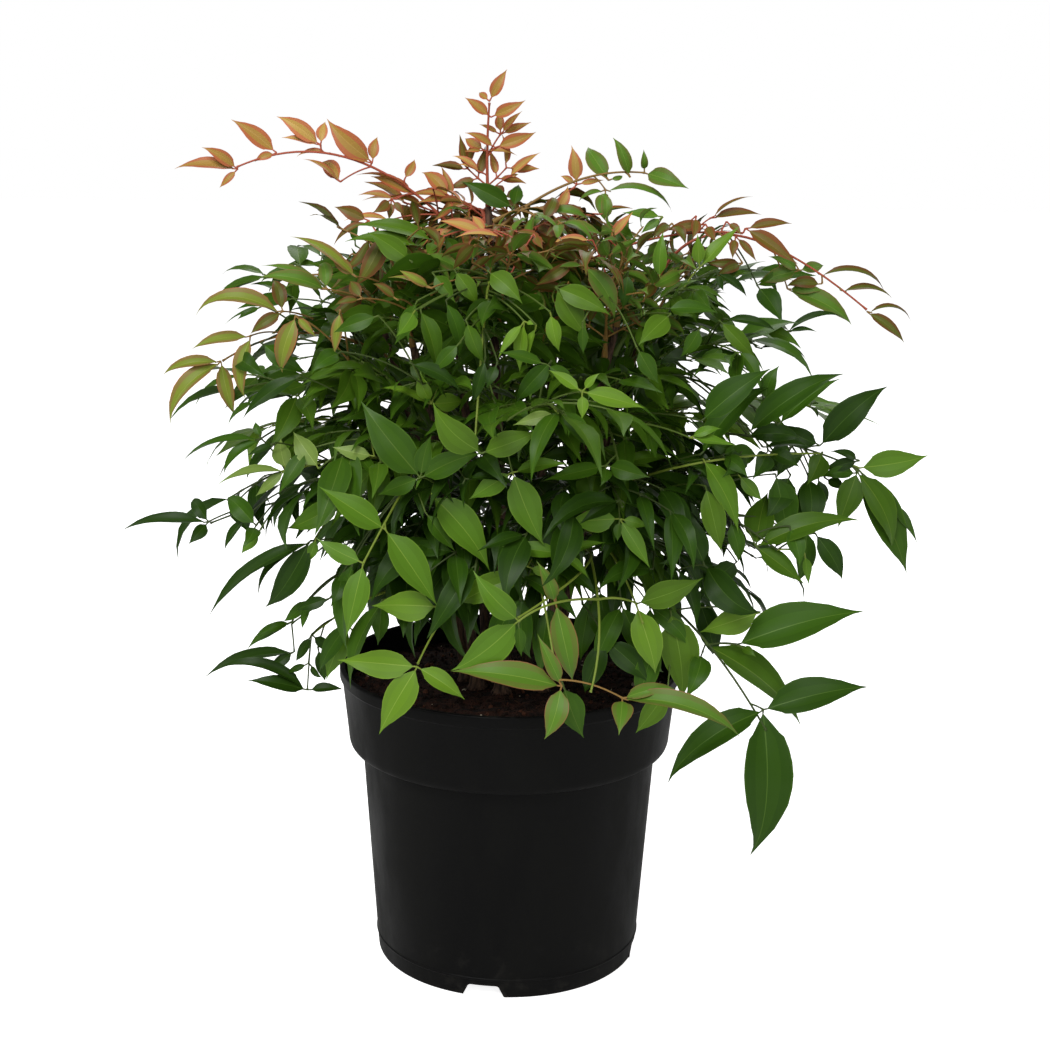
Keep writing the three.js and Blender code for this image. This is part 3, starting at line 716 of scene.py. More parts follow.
@dataclass(frozen=True)
class PotPlastic:
    """Black moulded plastic with a mottled roughness and a painted sheen (a lighter mottle in its colour), dusty at
    the foot and rubbed at its edges.
    """

    deep: str = "#080808"
    # The lighter colour of the painted sheen, mottled into the black.
    painted_sheen: str = "#0d0d0c"
    dust: str = "#55524c"
    rubbed: str = "#242322"
    dust_share: float = 0.12
    tooth_depth: float = 0.00012

    def material(self) -> Material:
        """The finish as a material.

        Returns:
            The material.
        """
        material, bench, shader = shader_of("pot_plastic", Gloss(0.5, 0.08))
        place = bench.place()
        grain = GRAIN.place(bench, {"Place": bench.place(0.4), "Mottle Scale": 22.0, "Tooth Scale": 1100.0})
        dust = DUST.place(bench, {"Place": place, "Foot Top": 0.05, "Speck Scale": 75.0})
        wear = WEAR.place(bench, {"Place": place})
        share = bench.math("MULTIPLY", dust["Dust"], self.dust_share)
        # Painted sheen: the mottle lifts the black base colour towards the lighter sheen colour.
        base = bench.blend(grain["Mottle"], linear(self.deep), linear(self.painted_sheen))
        worn = bench.blend(wear["Wear"], base, linear(self.rubbed))
        bench.wire(shader, {
            "Base Color": bench.blend(share, worn, linear(self.dust)),
            "Roughness": bench.math("ADD", bench.spread(grain["Mottle"], 0.42, 0.6), share),
            "Normal": bench.relief(grain["Tooth"], 0.5, self.tooth_depth)})
        return material


@dataclass(frozen=True)
class PottingEarth:
    """Damp potting mix: dark and reddish crumbs with deep pores."""

    deep: str = "#120a06"
    crumb: str = "#3a2015"
    grain_depth: float = 0.0016

    def material(self) -> Material:
        """The finish as a material.

        Returns:
            The material.
        """
        material, bench, shader = shader_of("potting_earth", Gloss(0.92, 0.25))
        grain = GRAIN.place(bench, {"Place": bench.place(), "Mottle Scale": 150.0, "Tooth Scale": 520.0})
        bench.wire(shader, {
            "Base Color": bench.blend(grain["Mottle"], linear(self.deep), linear(self.crumb)),
            "Normal": bench.relief(grain["Tooth"], 0.9, self.grain_depth)})
        return material


@dataclass(frozen=True)
class CaneBark:
    """Brown fissured bark, streaked along the cane, with paler ridges."""

    furrow: str = "#2e2018"
    ridge: str = "#6b5240"
    worn: str = "#8c745c"
    furrow_depth: float = 0.0005

    def material(self) -> Material:
        """The finish as a material.

        Returns:
            The material.
        """
        material, bench, shader = shader_of("cane_bark", Gloss(0.82, 0.3))
        grain = GRAIN.place(bench, {"Place": bench.place(0.16), "Mottle Scale": 420.0, "Tooth Scale": 1300.0})
        wear = WEAR.place(bench, {
            "Place": bench.place(), "Edge Start": 0.51, "Edge End": 0.57, "Patch Scale": 160.0})
        base = bench.blend(grain["Mottle"], linear(self.furrow), linear(self.ridge))
        bench.wire(shader, {
            "Base Color": bench.blend(wear["Wear"], base, linear(self.worn)),
            "Normal": bench.relief(grain["Mottle"], 0.8, self.furrow_depth)})
        return material


LEAF_FINISHES = {
    Tint.BRONZE: LeafFinish(Tint.BRONZE, (
        LeafTone("#6c5c22", "#7c4c24", "#883e28", "#80702e"),
        LeafTone("#a27e3a", "#ac643c", "#a84a34", "#b0904c"),
        LeafTone("#b6944c", "#bc744a", "#b85a42", "#c4a25a"),
    ), Gloss(0.42, 0.2)),
    Tint.FRESH: LeafFinish(Tint.FRESH, (
        LeafTone("#5a5e20", "#64481f", "#82442c", "#72702e"),
        LeafTone("#567a24", "#5e702a", "#84603a", "#749036"),
        LeafTone("#78862c", "#806f36", "#a25438", "#929a42"),
    ), Gloss(0.42, 0.18)),
    Tint.BRIGHT: LeafFinish(Tint.BRIGHT, (
        LeafTone("#547a1c", "#507419", "#608222", "#749232"),
        LeafTone("#62861f", "#5e8020", "#6e8e2a", "#809c3a"),
        LeafTone("#728a3e", "#6c843a", "#809848", "#92a658"),
    ), Gloss(0.38, 0.2)),
    Tint.GREEN: LeafFinish(Tint.GREEN, (
        LeafTone("#426214", "#3e5d12", "#4c6a18", "#5e7826"),
        LeafTone("#385810", "#34530f", "#426216", "#526c24"),
        LeafTone("#4e6e18", "#4a6816", "#587820", "#66842c"),
    ), Gloss(0.36, 0.14)),
    Tint.DARK: LeafFinish(Tint.DARK, (
        LeafTone("#2e4c0e", "#2a470d", "#365412", "#466420"),
        LeafTone("#26400c", "#223b0b", "#2e4a10", "#3c581c"),
        LeafTone("#385a12", "#345410", "#426216", "#507024"),
    ), Gloss(0.36, 0.12)),
}

CRUMB_FINISHES = (
    PlainFinish("soil_crumb", "#1c100a", Gloss(0.9, 0.2)),
    PlainFinish("bark_chip", "#4a2a1a", Gloss(0.8, 0.25)),
    PlainFinish("pale_grain", "#a89c88", Gloss(0.85, 0.3)),
)

STALK_FINISHES = {
    Tint.BRONZE: PlainFinish("stalk_coral", "#a8523a", Gloss(0.5, 0.3)),
    Tint.FRESH: PlainFinish("stalk_russet", "#8a6a36", Gloss(0.5, 0.3)),
    Tint.BRIGHT: PlainFinish("stalk_lime", "#74862e", Gloss(0.5, 0.3)),
    Tint.GREEN: PlainFinish("stalk_green", "#4e6224", Gloss(0.5, 0.3)),
    Tint.DARK: PlainFinish("stalk_olive", "#3a4a1c", Gloss(0.5, 0.3)),
}


# ---------------------------------------------------------------- pot and soil


@dataclass
class Channels:
    """The drainage channels under the pot's base, each with a hole in its roof."""

    count: int = 4
    first_azimuth: float = -99.3
    mouth_width: float = 29
    roof_width: float = 21
    height: float = 8.7
    corner: float = 2.5
    corner_slope: float = 0.5
    inner_end: float = 56
    outer_end: float = 100
    skin: float = 1.8
    drain_at: float = 72
    drain_radius: float = 6
    drain_depth: float = 5
    drain_sides: int = 40

    def azimuths(self) -> list[float]:
        """The azimuth of each channel."""
        return [self.first_azimuth + 360 * i / self.count for i in range(self.count)]

    def run(self, name: str, skin: float, start: float, end: float, below: float) -> Object:
        """Every channel's solid in one object, widened by a skin.

        Args:
            name: Name of the object.
            skin: How far the solid stands out round the channel.
            start: Where it starts, measured from the axis.
            end: Where it ends.
            below: The height of its underside.

        Returns:
            The object.
        """
        foot, roof, top = self.mouth_width / 2 + skin, self.roof_width / 2 + skin, self.height + skin
        side = (roof + self.corner_slope, top - self.corner)
        half = [(foot, below), *eased(side, (roof, top), (roof - self.corner, top))]
        section = half + [(-x, z) for x, z in reversed(half)]
        return prisms(name, [
            [[heading(azimuth) * distance + heading(azimuth + 90) * x + UP * z for x, z in section]
             for distance in (start, end)]
            for azimuth in self.azimuths()])

    def drains(self, name: str) -> Object:
        """The round drills through the channels' roofs, in one object.

        Args:
            name: Name of the object.

        Returns:
            The object.
        """
        step = 360 / self.drain_sides
        ends = (self.height - self.drain_depth, self.height + self.drain_depth)
        return prisms(name, [
            [[heading(azimuth) * self.drain_at + heading(step * i) * self.drain_radius + UP * height
              for i in range(self.drain_sides)] for height in ends]
            for azimuth in self.azimuths()])


def prisms(name: str, pairs: Sequence[Sequence[Sequence[Vector]]]) -> Object:
    """Closed straight solids between pairs of like outlines, in one object.

    Args:
        name: Name of the object.
        pairs: The two outlines of each solid, anticlockwise as seen from the second's side.

    Returns:
        The object.
    """
    points: list[Vector] = []
    faces: list[tuple[int, ...]] = []
    for near, far in pairs:
        first, count = len(points), len(near)
        points += [*near, *far]
        faces.append(tuple(first + i for i in reversed(range(count))))
        faces.append(tuple(first + count + i for i in range(count)))
        for i in range(count):
            beside = (i + 1) % count
            faces.append((first + i, first + beside, first + count + beside, first + count + i))
    return object_of(mesh_of(name, points, faces))


def carve(piece: Object, tool: Object, operation: str) -> None:
    """Joins a tool to a piece or cuts it out, and clears the tool away.

    Args:
        piece: The piece, whose mesh is changed.
        tool: The solid that joins or cuts.
        operation: The boolean's name: UNION or DIFFERENCE.
    """
    modifier = piece.modifiers.new("carve", "BOOLEAN")
    modifier.object, modifier.operation, modifier.solver = tool, operation, "EXACT"
    bake_mesh(piece)
    bpy.data.objects.remove(tool)


@dataclass
class NurseryPot:
    """The turned pot with its collar, lip, foot bead and drainage channels."""

    height: float = 204
    rim_radius: float = 115
    lip_height: float = 8
    lip_step: float = 1.7
    collar_foot: float = 157
    collar_foot_radius: float = 109.2
    body_top: float = 148
    body_top_radius: float = 99.8
    base_radius: float = 89.6
    base_rounding: float = 2
    bead_height: float = 13
    bead_proud: float = 0.6
    wall: float = 1.8
    floor: float = 2
    sides: int = 160
    edge_angle: float = 38
    margin: float = 2
    channels: Channels = field(default_factory=Channels)

    def inside(self) -> list[tuple[float, float]]:
        """The inner profile from the floor up to the rim.

        Returns:
            Points of radius and height.
        """
        rim = self.rim_radius - self.lip_step - self.wall
        base, collar = self.base_radius - self.wall, self.collar_foot_radius - self.wall
        return [
            (0, self.floor),
            *eased((base - 3, self.floor), (base, self.floor), (base + 0.1, self.floor + 3)),
            (self.body_top_radius - self.wall, self.body_top + 1.6),
            (collar - 1.5, self.body_top + 4), (collar, self.collar_foot + 1),
            (rim, self.height - self.lip_height), (rim, self.height - 0.9),
        ]

    def outside(self) -> list[tuple[float, float]]:
        """The outer profile from the middle of the underside up to the lip.

        Returns:
            Points of radius and height.
        """
        def body(z: float) -> float:
            """The body's radius at a height."""
            return mix(self.base_radius, self.body_top_radius, z / self.body_top)

        bead, proud, base, top = self.bead_height, self.bead_proud, self.base_radius, self.body_top
        collar, collar_foot = self.collar_foot_radius, self.collar_foot
        height, lip = self.height, self.height - self.lip_height
        rim, neck = self.rim_radius, self.rim_radius - self.lip_step
        return [
            (0, 0),
            *eased((base - self.base_rounding, 0), (base, 0), (base, self.base_rounding)),
            (body(bead - 1.2), bead - 1.2),
            *eased((body(bead - 1), bead - 1), (body(bead) + 2 * proud, bead), (body(bead + 1), bead + 1)),
            (body(bead + 1.2), bead + 1.2),
            (body(top * 0.5), top * 0.5),
            *eased((body(top - 1.5), top - 1.5), (self.body_top_radius, top + 0.6),
                   (self.body_top_radius + 2, top + 1)),
            *eased((collar - 2.6, top + 1.6), (collar - 0.2, top + 2.2), (collar, collar_foot)),
            (mix(collar, neck, 0.5), mix(collar_foot, lip, 0.5)),
            *eased((neck, lip - 1.4), (neck + 0.2, lip), (rim - 0.4, lip + 0.4)),
            *eased((rim - 0.2, lip + 0.6), (rim, lip + 0.8), (rim, lip + 1.4)),
            *eased((rim, height - 1.8), (rim, height), (rim - 1.4, height)),
            (neck - self.wall + 0.9, height),
        ]

    def build(self) -> Object:
        """The pot's mesh, with its channels and holes cut.

        Returns:
            The pot.
        """
        profile = self.outside() + self.inside()[::-1]
        pot = object_of(lathe("nursery_pot", profile, self.sides))
        cut = self.channels
        housing_end = self.base_radius - self.wall / 2
        carve(pot, cut.run("housing", cut.skin, cut.inner_end - cut.skin, housing_end, self.floor / 2), "UNION")
        carve(pot, cut.run("channel", 0, cut.inner_end, cut.outer_end, -1), "DIFFERENCE")
        carve(pot, cut.drains("drain"), "DIFFERENCE")
        smooth(pot, self.edge_angle)
        return pot

    def dress(self) -> Object:
        """The finished pot, in place of its plain solid.

        Returns:
            The pot.
        """
        pot = self.build()
        pot.data.materials.clear()
        pot.data.materials.append(PotPlastic().material())
        return settle(pot, ["pot"])

    def holds(self, point: Vector) -> bool:
        """True if a point lies within the pot or its mouth."""
        level = math.hypot(point.x, point.y)
        return point.z < self.height + self.margin and level < self.rim_radius + self.margin


def settle(piece: Object, nodes: Sequence[str]) -> Object:
    """Makes a piece ride on the part in place of its plain nodes, and reports it.

    Args:
        piece: The finished piece.
        nodes: The nodes that it stands for.

    Returns:
        The piece.
    """
    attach(piece, BODY)
    if nodes:
        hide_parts(*nodes)
    triangles = sum(len(face.vertices) - 2 for face in piece.data.polygons)
    log.info("%s: %d triangles, %d materials", piece.name, triangles, len(piece.data.materials))
    return piece


@dataclass
class PottingSoil:
    """The potting mix in the pot: an uneven top, strewn with crumbs, bark chips and pale grains."""

    level: float = 190
    edge_drop: float = 4
    flat_radius: float = 62
    slack: float = 0.45
    sides: int = 128
    rings: int = 26
    swell: float = 2.2
    edge_angle: float = 50
    calm_edge: float = 6
    crumb_seed: int = 11
    crumb_rings: int = 12
    crumb_sides: int = 48
    crumb_margin: float = 3
    crumb_lift: float = 0.2
    crumb_sizes: tuple[float, float] = (0.6, 2.6)
    crumb_count_per_m2: float = 62000.0
    chip_share: float = 0.16
    pale_share: float = 0.012
    pot: NurseryPot = field(default_factory=NurseryPot)

    def wall(self) -> list[tuple[float, float]]:
        """The soil's side as points of radius and height, a slack off the pot's inside."""
        return [(max(0.0, r - self.slack), z + self.slack) for r, z in self.pot.inside()]

    def edge_radius(self) -> float:
        """The radius at which the soil's top meets the pot's inside.

        Returns:
            The radius in millimetres.
        """
        edge = self.level - self.edge_drop
        wall = self.wall()
        number = bisect.bisect([z for _, z in wall], edge)
        (low_radius, low), (high_radius, high) = wall[number - 1], wall[number]
        return mix(low_radius, high_radius, (edge - low) / (high - low))

    def top_height(self, radius: float, azimuth: float) -> float:
        """The height of the uneven top at a place.

        Args:
            radius: Distance from the axis.
            azimuth: Direction in degrees.

        Returns:
            The height in millimetres.
        """
        edge = self.edge_radius()
        fall = self.edge_drop * clamp((radius - self.flat_radius) / (edge - self.flat_radius), 0, 1)
        spot = heading(azimuth) * radius
        calm = 1 - clamp((radius - edge + self.calm_edge) / self.calm_edge, 0, 1)
        coarse, middle, fine = (noise.noise(p) for p in (spot * 0.07, spot * 0.19 + UP * 7, spot * 0.5))
        lumps = coarse + 0.6 * middle + 0.35 * fine
        return self.level - fall + calm * self.swell * (lumps - 0.35)

    def build(self) -> Object:
        """The soil's mesh, closed all round.

        Returns:
            The soil.
        """
        edge = self.level - self.edge_drop
        below = [p for p in self.wall() if p[1] < edge]
        radius = self.edge_radius()
        ring_radii = [radius * (1 - (i / self.rings)) for i in range(self.rings)]
        profile = [*below, *[(r, self.level) for r in ring_radii], (0, self.level)]
        mesh = lathe("potting_soil", profile, self.sides)
        for vertex in mesh.vertices:
            place = vertex.co / MM
            if abs(place.z - self.level) < 1e-3:
                azimuth = math.degrees(math.atan2(place.y, place.x))
                vertex.co.z = self.top_height(math.hypot(place.x, place.y), azimuth) * MM
        soil = object_of(mesh)
        cut = self.pot.channels
        gap = cut.skin + SEAT_GAP
        carve(soil, cut.run("housing_room", gap, cut.inner_end - gap, cut.outer_end, -1), "DIFFERENCE")
        smooth(soil, self.edge_angle)
        return soil

    def crumb_recipe(self) -> Recipe:
        """The tree that strews crumbs over the soil's top.

        Returns:
            The recipe.
        """
        recipe = Recipe("soil_crumbs", {
            "Crumbs Per Square Metre": (NUMBER, self.crumb_count_per_m2),
            "Smallest": (NUMBER, self.crumb_sizes[0] * MM),
            "Largest": (NUMBER, self.crumb_sizes[1] * MM),
            "Chip Share": (NUMBER, self.chip_share),
            "Pale Share": (NUMBER, self.pale_share),
            "Seed": ("NodeSocketInt", self.crumb_seed),
        })
        bench, given = recipe.bench, recipe.given
        strewn = bench.out("GeometryNodeDistributePointsOnFaces", {
            "Mesh": given["Geometry"], "Density": given["Crumbs Per Square Metre"], "Seed": given["Seed"]})
        ball = bench.out("GeometryNodeMeshIcoSphere", {"Radius": 1.0, "Subdivisions": 1})
        lumpy = bench.add("ShaderNodeTexNoise", {"Scale": 1.3, "Detail": 1.0}).outputs["Color"]
        shifted = bench.out("ShaderNodeVectorMath", {0: lumpy, 1: (0.5, 0.5, 0.5)}, operation="SUBTRACT")
        crumb = bench.out("GeometryNodeSetPosition", {"Geometry": ball, "Offset": shifted})

        seeds = [bench.math("ADD", given["Seed"], float(shift)) for shift in (1, 2, 3, 4)]
        small = bench.math("POWER", bench.random(0.0, 1.0, seeds[0]), 3.0)
        grown = bench.spread(small, given["Smallest"], given["Largest"])
        squat = bench.random((0.6, 0.5, 0.3), (1.3, 1.0, 0.8), seeds[1])
        spin = bench.random((0.0, 0.0, 0.0), (6.28, 6.28, 6.28), seeds[2])
        chance = bench.random(0.0, 1.0, seeds[3])
        tone = bench.math(
            "ADD", bench.below(chance, given["Chip Share"]), bench.below(chance, given["Pale Share"]))
        placed = bench.out("GeometryNodeInstanceOnPoints", {
            "Points": strewn, "Instance": crumb, "Rotation": spin, "Scale": bench.scaled(squat, grown)})
        kept = bench.out("GeometryNodeStoreNamedAttribute", {
            "Geometry": placed, "Name": "tone", "Value": tone}, data_type="INT", domain="INSTANCE")
        dealt = [Dealt(finish.material(), number) for number, finish in enumerate(CRUMB_FINISHES)]
        recipe.finish(realize(bench, kept, dealt))
        return recipe

    def strew(self) -> Object:
        """The crumbs on the soil's top.

        Returns:
            The crumbs as one piece.
        """
        points, faces = [], []
        rings, sides = self.crumb_rings, self.crumb_sides
        reach = self.edge_radius() - self.crumb_margin
        for ring in range(rings + 1):
            for side in range(sides):
                radius, azimuth = reach * ring / rings, 360 * side / sides
                height = self.top_height(radius, azimuth) + self.crumb_lift
                points.append(heading(azimuth) * radius + UP * height)
        for ring in range(rings):
            for side in range(sides):
                a, b = ring * sides + side, ring * sides + (side + 1) % sides
                faces.append((a, b, b + sides, a + sides))
        crumbs = object_of(mesh_of("soil_crumbs", points, faces))
        self.crumb_recipe().cook(crumbs, {"Seed": self.crumb_seed})
        return crumbs

    def dress(self) -> list[Object]:
        """The finished soil and its crumbs, in place of the plain solid.

        Returns:
            Both pieces.
        """
        soil = self.build()
        soil.data.materials.clear()
        soil.data.materials.append(PottingEarth().material())
        return [settle(soil, ["soil"]), settle(self.strew(), ["soil"])]


# ---------------------------------------------------------------- canes


@dataclass(frozen=True)
class CaneRow:
    """Where a cane stands in the clump, how far it leans out by its tip, and how high it ends."""

    azimuth: float
    foot: float
    lean: float
    tip: float


CANE_ROWS = (
    CaneRow(-102, 26, 58, 446),
    CaneRow(-40, 27, 84, 440),
    CaneRow(12, 29, 88, 436),
    CaneRow(66, 27, 76, 438),
    CaneRow(122, 28, 80, 432),
    CaneRow(176, 29, 86, 430),
    CaneRow(-146, 26, 76, 424),
    CaneRow(150, 3, 20, 508),
)


@dataclass
class Cane:
    """One cane: its middle line, taper, node rings and fissured bark."""

    row: CaneRow
    number: int
    soil_level: float
    foot_radius: float = 4
    tip_radius: float = 2.1
    flare: float = 1.5
    flare_height: float = 9
    knee_out: float = 0.32
    knee_up: float = 0.5
    rings: int = 5
    bark_sides: int = 16
    bark_step: float = 2.6
    node_spacing: float = 26
    node_swell: float = 0.2
    node_width: float = 1.5
    sheath_swell: float = 0.16
    sheath_length: float = 7
    sheath_turn: float = 2.4
    cap_rise: float = 0.8
    fissure: float = 0.075
    line: Arc = field(init=False)
    length: float = field(init=False)

    def __post_init__(self) -> None:
        """Works out the middle line."""
        out = heading(self.row.azimuth)
        start = out * self.row.foot + UP * (self.soil_level + SEAT_GAP)
        end = out * self.row.lean + UP * self.row.tip
        knee = out * mix(self.row.foot, self.row.lean, self.knee_out) + UP * mix(start.z, self.row.tip, self.knee_up)
        self.line = Arc(start, knee, end)
        self.length = self.line.length()

    def radius(self, part: float) -> float:
        """The cane's radius at a part of its length, with its flare at the root."""
        flare = (self.flare - 1) * self.foot_radius * max(0.0, 1 - part * self.length / self.flare_height)
        return mix(self.foot_radius, self.tip_radius, part) + flare

    def bark_radius(self, part: float, side: float) -> float:
        """The radius with node rings, old leaf bases and fissures.

        Args:
            part: Part of the cane's length.
            side: Angle round the cane in radians.

        Returns:
            The radius in millimetres.
        """
        along = part * self.length
        step = along / self.node_spacing
        node = math.exp(-(((step - round(step)) * self.node_spacing / self.node_width) ** 2))
        below = (math.ceil(step) - step) if step > 0.3 else 1.0
        clasp = max(0.0, math.cos(side - self.sheath_turn * math.ceil(step) - self.number)) ** 1.5
        sheath = math.exp(-((below * self.node_spacing / self.sheath_length) ** 2)) * clasp
        spot = Vector((math.cos(side) * 2.2, math.sin(side) * 2.2, along * 0.05 + 9 * self.number))
        cracks = noise.noise(spot) + 0.5 * noise.noise(spot * 2.3)
        return self.radius(part) * (
            1 + self.node_swell * node + self.sheath_swell * sheath + self.fissure * cracks)

    def build(self) -> Object:
        """The cane with its bark's relief.

        Returns:
            The cane.
        """
        count, sides = round(self.length / self.bark_step), self.bark_sides
        out = heading(self.row.azimuth)
        points: list[Vector] = []
        for ring in range(count + 1):
            part = ring / count
            spot, tangent = self.line.point(part), self.line.tangent(part)
            across = out.cross(tangent).normalized()
            front = tangent.cross(across)
            for i in range(sides):
                side = 2 * math.pi * i / sides
                radius = self.bark_radius(part, side)
                points.append(spot + front * (radius * math.cos(side)) + across * (radius * math.sin(side)))
        foot, crown = len(points), len(points) + 1
        points += [self.line.point(0), self.line.point(1) + self.line.tangent(1) * self.cap_rise]
        faces = closed_faces(count + 1, sides, 0, foot, crown)
        cane = object_of(mesh_of(f"bark_cane_{self.number + 1}", points, faces))
        smooth(cane)
        return cane


@dataclass
class CaneClump:
    """The canes that rise from the soil."""

    soil_level: float
    canes: list[Cane] = field(init=False)

    def __post_init__(self) -> None:
        """Works out every cane."""
        self.canes = [Cane(row, number, self.soil_level) for number, row in enumerate(CANE_ROWS)]

    def dress(self) -> list[Object]:
        """The finished canes, each in place of its plain solid.

        Returns:
            The canes.
        """
        bark = CaneBark().material()
        made = []
        for cane in self.canes:
            piece = cane.build()
            piece.data.materials.append(bark)
            made.append(settle(piece, [f"cane_{cane.number + 1}"]))
        return made


# ---------------------------------------------------------------- leaves


@dataclass(frozen=True)
class LeafRow:
    """One compound leaf: where it springs, where its last joint stands, and how it is divided.

    The knee of the stalk stands above the middle by arch and aside by bend. Droop turns the leaflets
    down, end_droop the last one, and roll tips the leaf to one side. Facing is the azimuth that it spreads
    towards, if not its stalk's, and bare is the part of the stalk with no leaflets.
    """

    name: str
    cane: int
    at: float
    azimuth: float
    reach: float
    height: float
    arch: float
    leaflet: float
    pinnae: tuple[int, ...]
    droop: float
    tint: Tint
    end_droop: float | None = None
    roll: float = 0
    facing: float | None = None
    bare: float = 0.2
    bend: float = 0

    def at_tip(self) -> "LeafRow":
        """The same leaf, springing from its cane's tip."""
        return replace(self, at=1)


FEATURE_LEAVES = (
    LeafRow("top_shoot", 7, 1, 180, 17, 574, 0, 27, (3, 1, 1, 1), -14, Tint.BRONZE, facing=-90),
    LeafRow("top_left_arch", 7, 0.88, -173, 176, 533, 68, 42, (3, 1, 1, 1), 0, Tint.BRONZE, -14, 24),
    LeafRow("top_right_arch", 2, 1, 0, 229, 446, 76, 38, (3, 3, 1, 1), 6, Tint.BRONZE, -8, -28),
    LeafRow("right_high_arch", 7, 0.78, -8, 146, 496, 34, 38, (3, 3, 1), 4, Tint.BRONZE, -8, -24),
    LeafRow("green_arch", 7, 0.95, 8, 84, 531, 24, 32, (1, 1, 1), -14, Tint.FRESH, 8, -46),
    LeafRow("pink_shoot", 7, 0.86, 38, 49, 520, 12, 30, (1, 1), -10, Tint.BRONZE, facing=-60),
    LeafRow("left_cluster", 5, 0.92, -168, 188, 413, 34, 46, (3, 1, 1), 26, Tint.FRESH, -14, 30),
    LeafRow("left_high", 5, 1, 178, 140, 462, 22, 46, (3, 3, 1), 8, Tint.FRESH, -6, 24),
    LeafRow("left_middle", 5, 0.76, -176, 166, 357, 26, 56, (3, 3, 1), 16, Tint.DARK, -8, 24),
    LeafRow("left_pale", 6, 0.66, -157, 154, 346, 16, 46, (3, 1, 1), 4, Tint.BRIGHT, -8, 26),
    LeafRow("left_long", 5, 0.5, 177, 203, 295, 26, 64, (3, 1, 1), 4, Tint.DARK, -16, 18),
    LeafRow("left_low", 4, 0.3, 172, 152, 222, 30, 52, (3, 1, 1), 2, Tint.DARK, -10, 16, bare=0.6),
    LeafRow("left_front_low", 6, 0.3, -156, 140, 238, 28, 48, (3, 1), 0, Tint.BRIGHT, -14, 16, bare=0.6),
    LeafRow("front_three", 0, 0.3, -112, 146, 245, 34, 56, (1,), -12, Tint.BRIGHT, 26, bare=0.96),
    LeafRow("front_middle", 1, 0.42, -88, 160, 282, 24, 54, (3, 1, 1), 24, Tint.BRIGHT, 18, bend=-56),
    LeafRow("front_hanging", 0, 0.5, -73, 168, 246, 66, 60, (3,), -18, Tint.BRIGHT, 20, bare=0.95),
    LeafRow("front_left", 6, 0.72, -120, 172, 311, 46, 56, (3, 3, 1), 26, Tint.BRIGHT, -10, bend=-20),
    LeafRow("front_centre", 0, 0.86, -98, 150, 380, 34, 52, (3, 3, 1), 22, Tint.BRIGHT),
    LeafRow("front_right", 1, 0.74, -62, 138, 366, 30, 54, (3, 3, 1), 24, Tint.GREEN),
    LeafRow("front_right_low", 1, 0.42, -56, 146, 268, 40, 56, (3, 1), 26, Tint.BRIGHT),
    LeafRow("heart_right", 7, 0.64, -36, 96, 446, 26, 56, (3, 3, 1), 22, Tint.GREEN),
    LeafRow("heart_back", 7, 0.56, 98, 104, 436, 24, 58, (3, 3, 1), 22, Tint.GREEN),
    LeafRow("right_far", 2, 0.66, -10, 220, 351, 28, 64, (3, 3, 1), 44, Tint.DARK, -26, -8, bare=0.24),
    LeafRow("right_front", 1, 0.58, -28, 188, 307, 30, 64, (3, 3, 1), 24, Tint.DARK, -10, -22),
    LeafRow("right_low", 1, 0.34, -37, 200, 200, 66, 82, (1, 1), -20, Tint.DARK, 84, 10, facing=-84, bare=0.7),
    LeafRow("right_upper", 1, 0.88, -14, 158, 388, 18, 66, (3, 3, 1), 10, Tint.DARK, -12, -26),
)


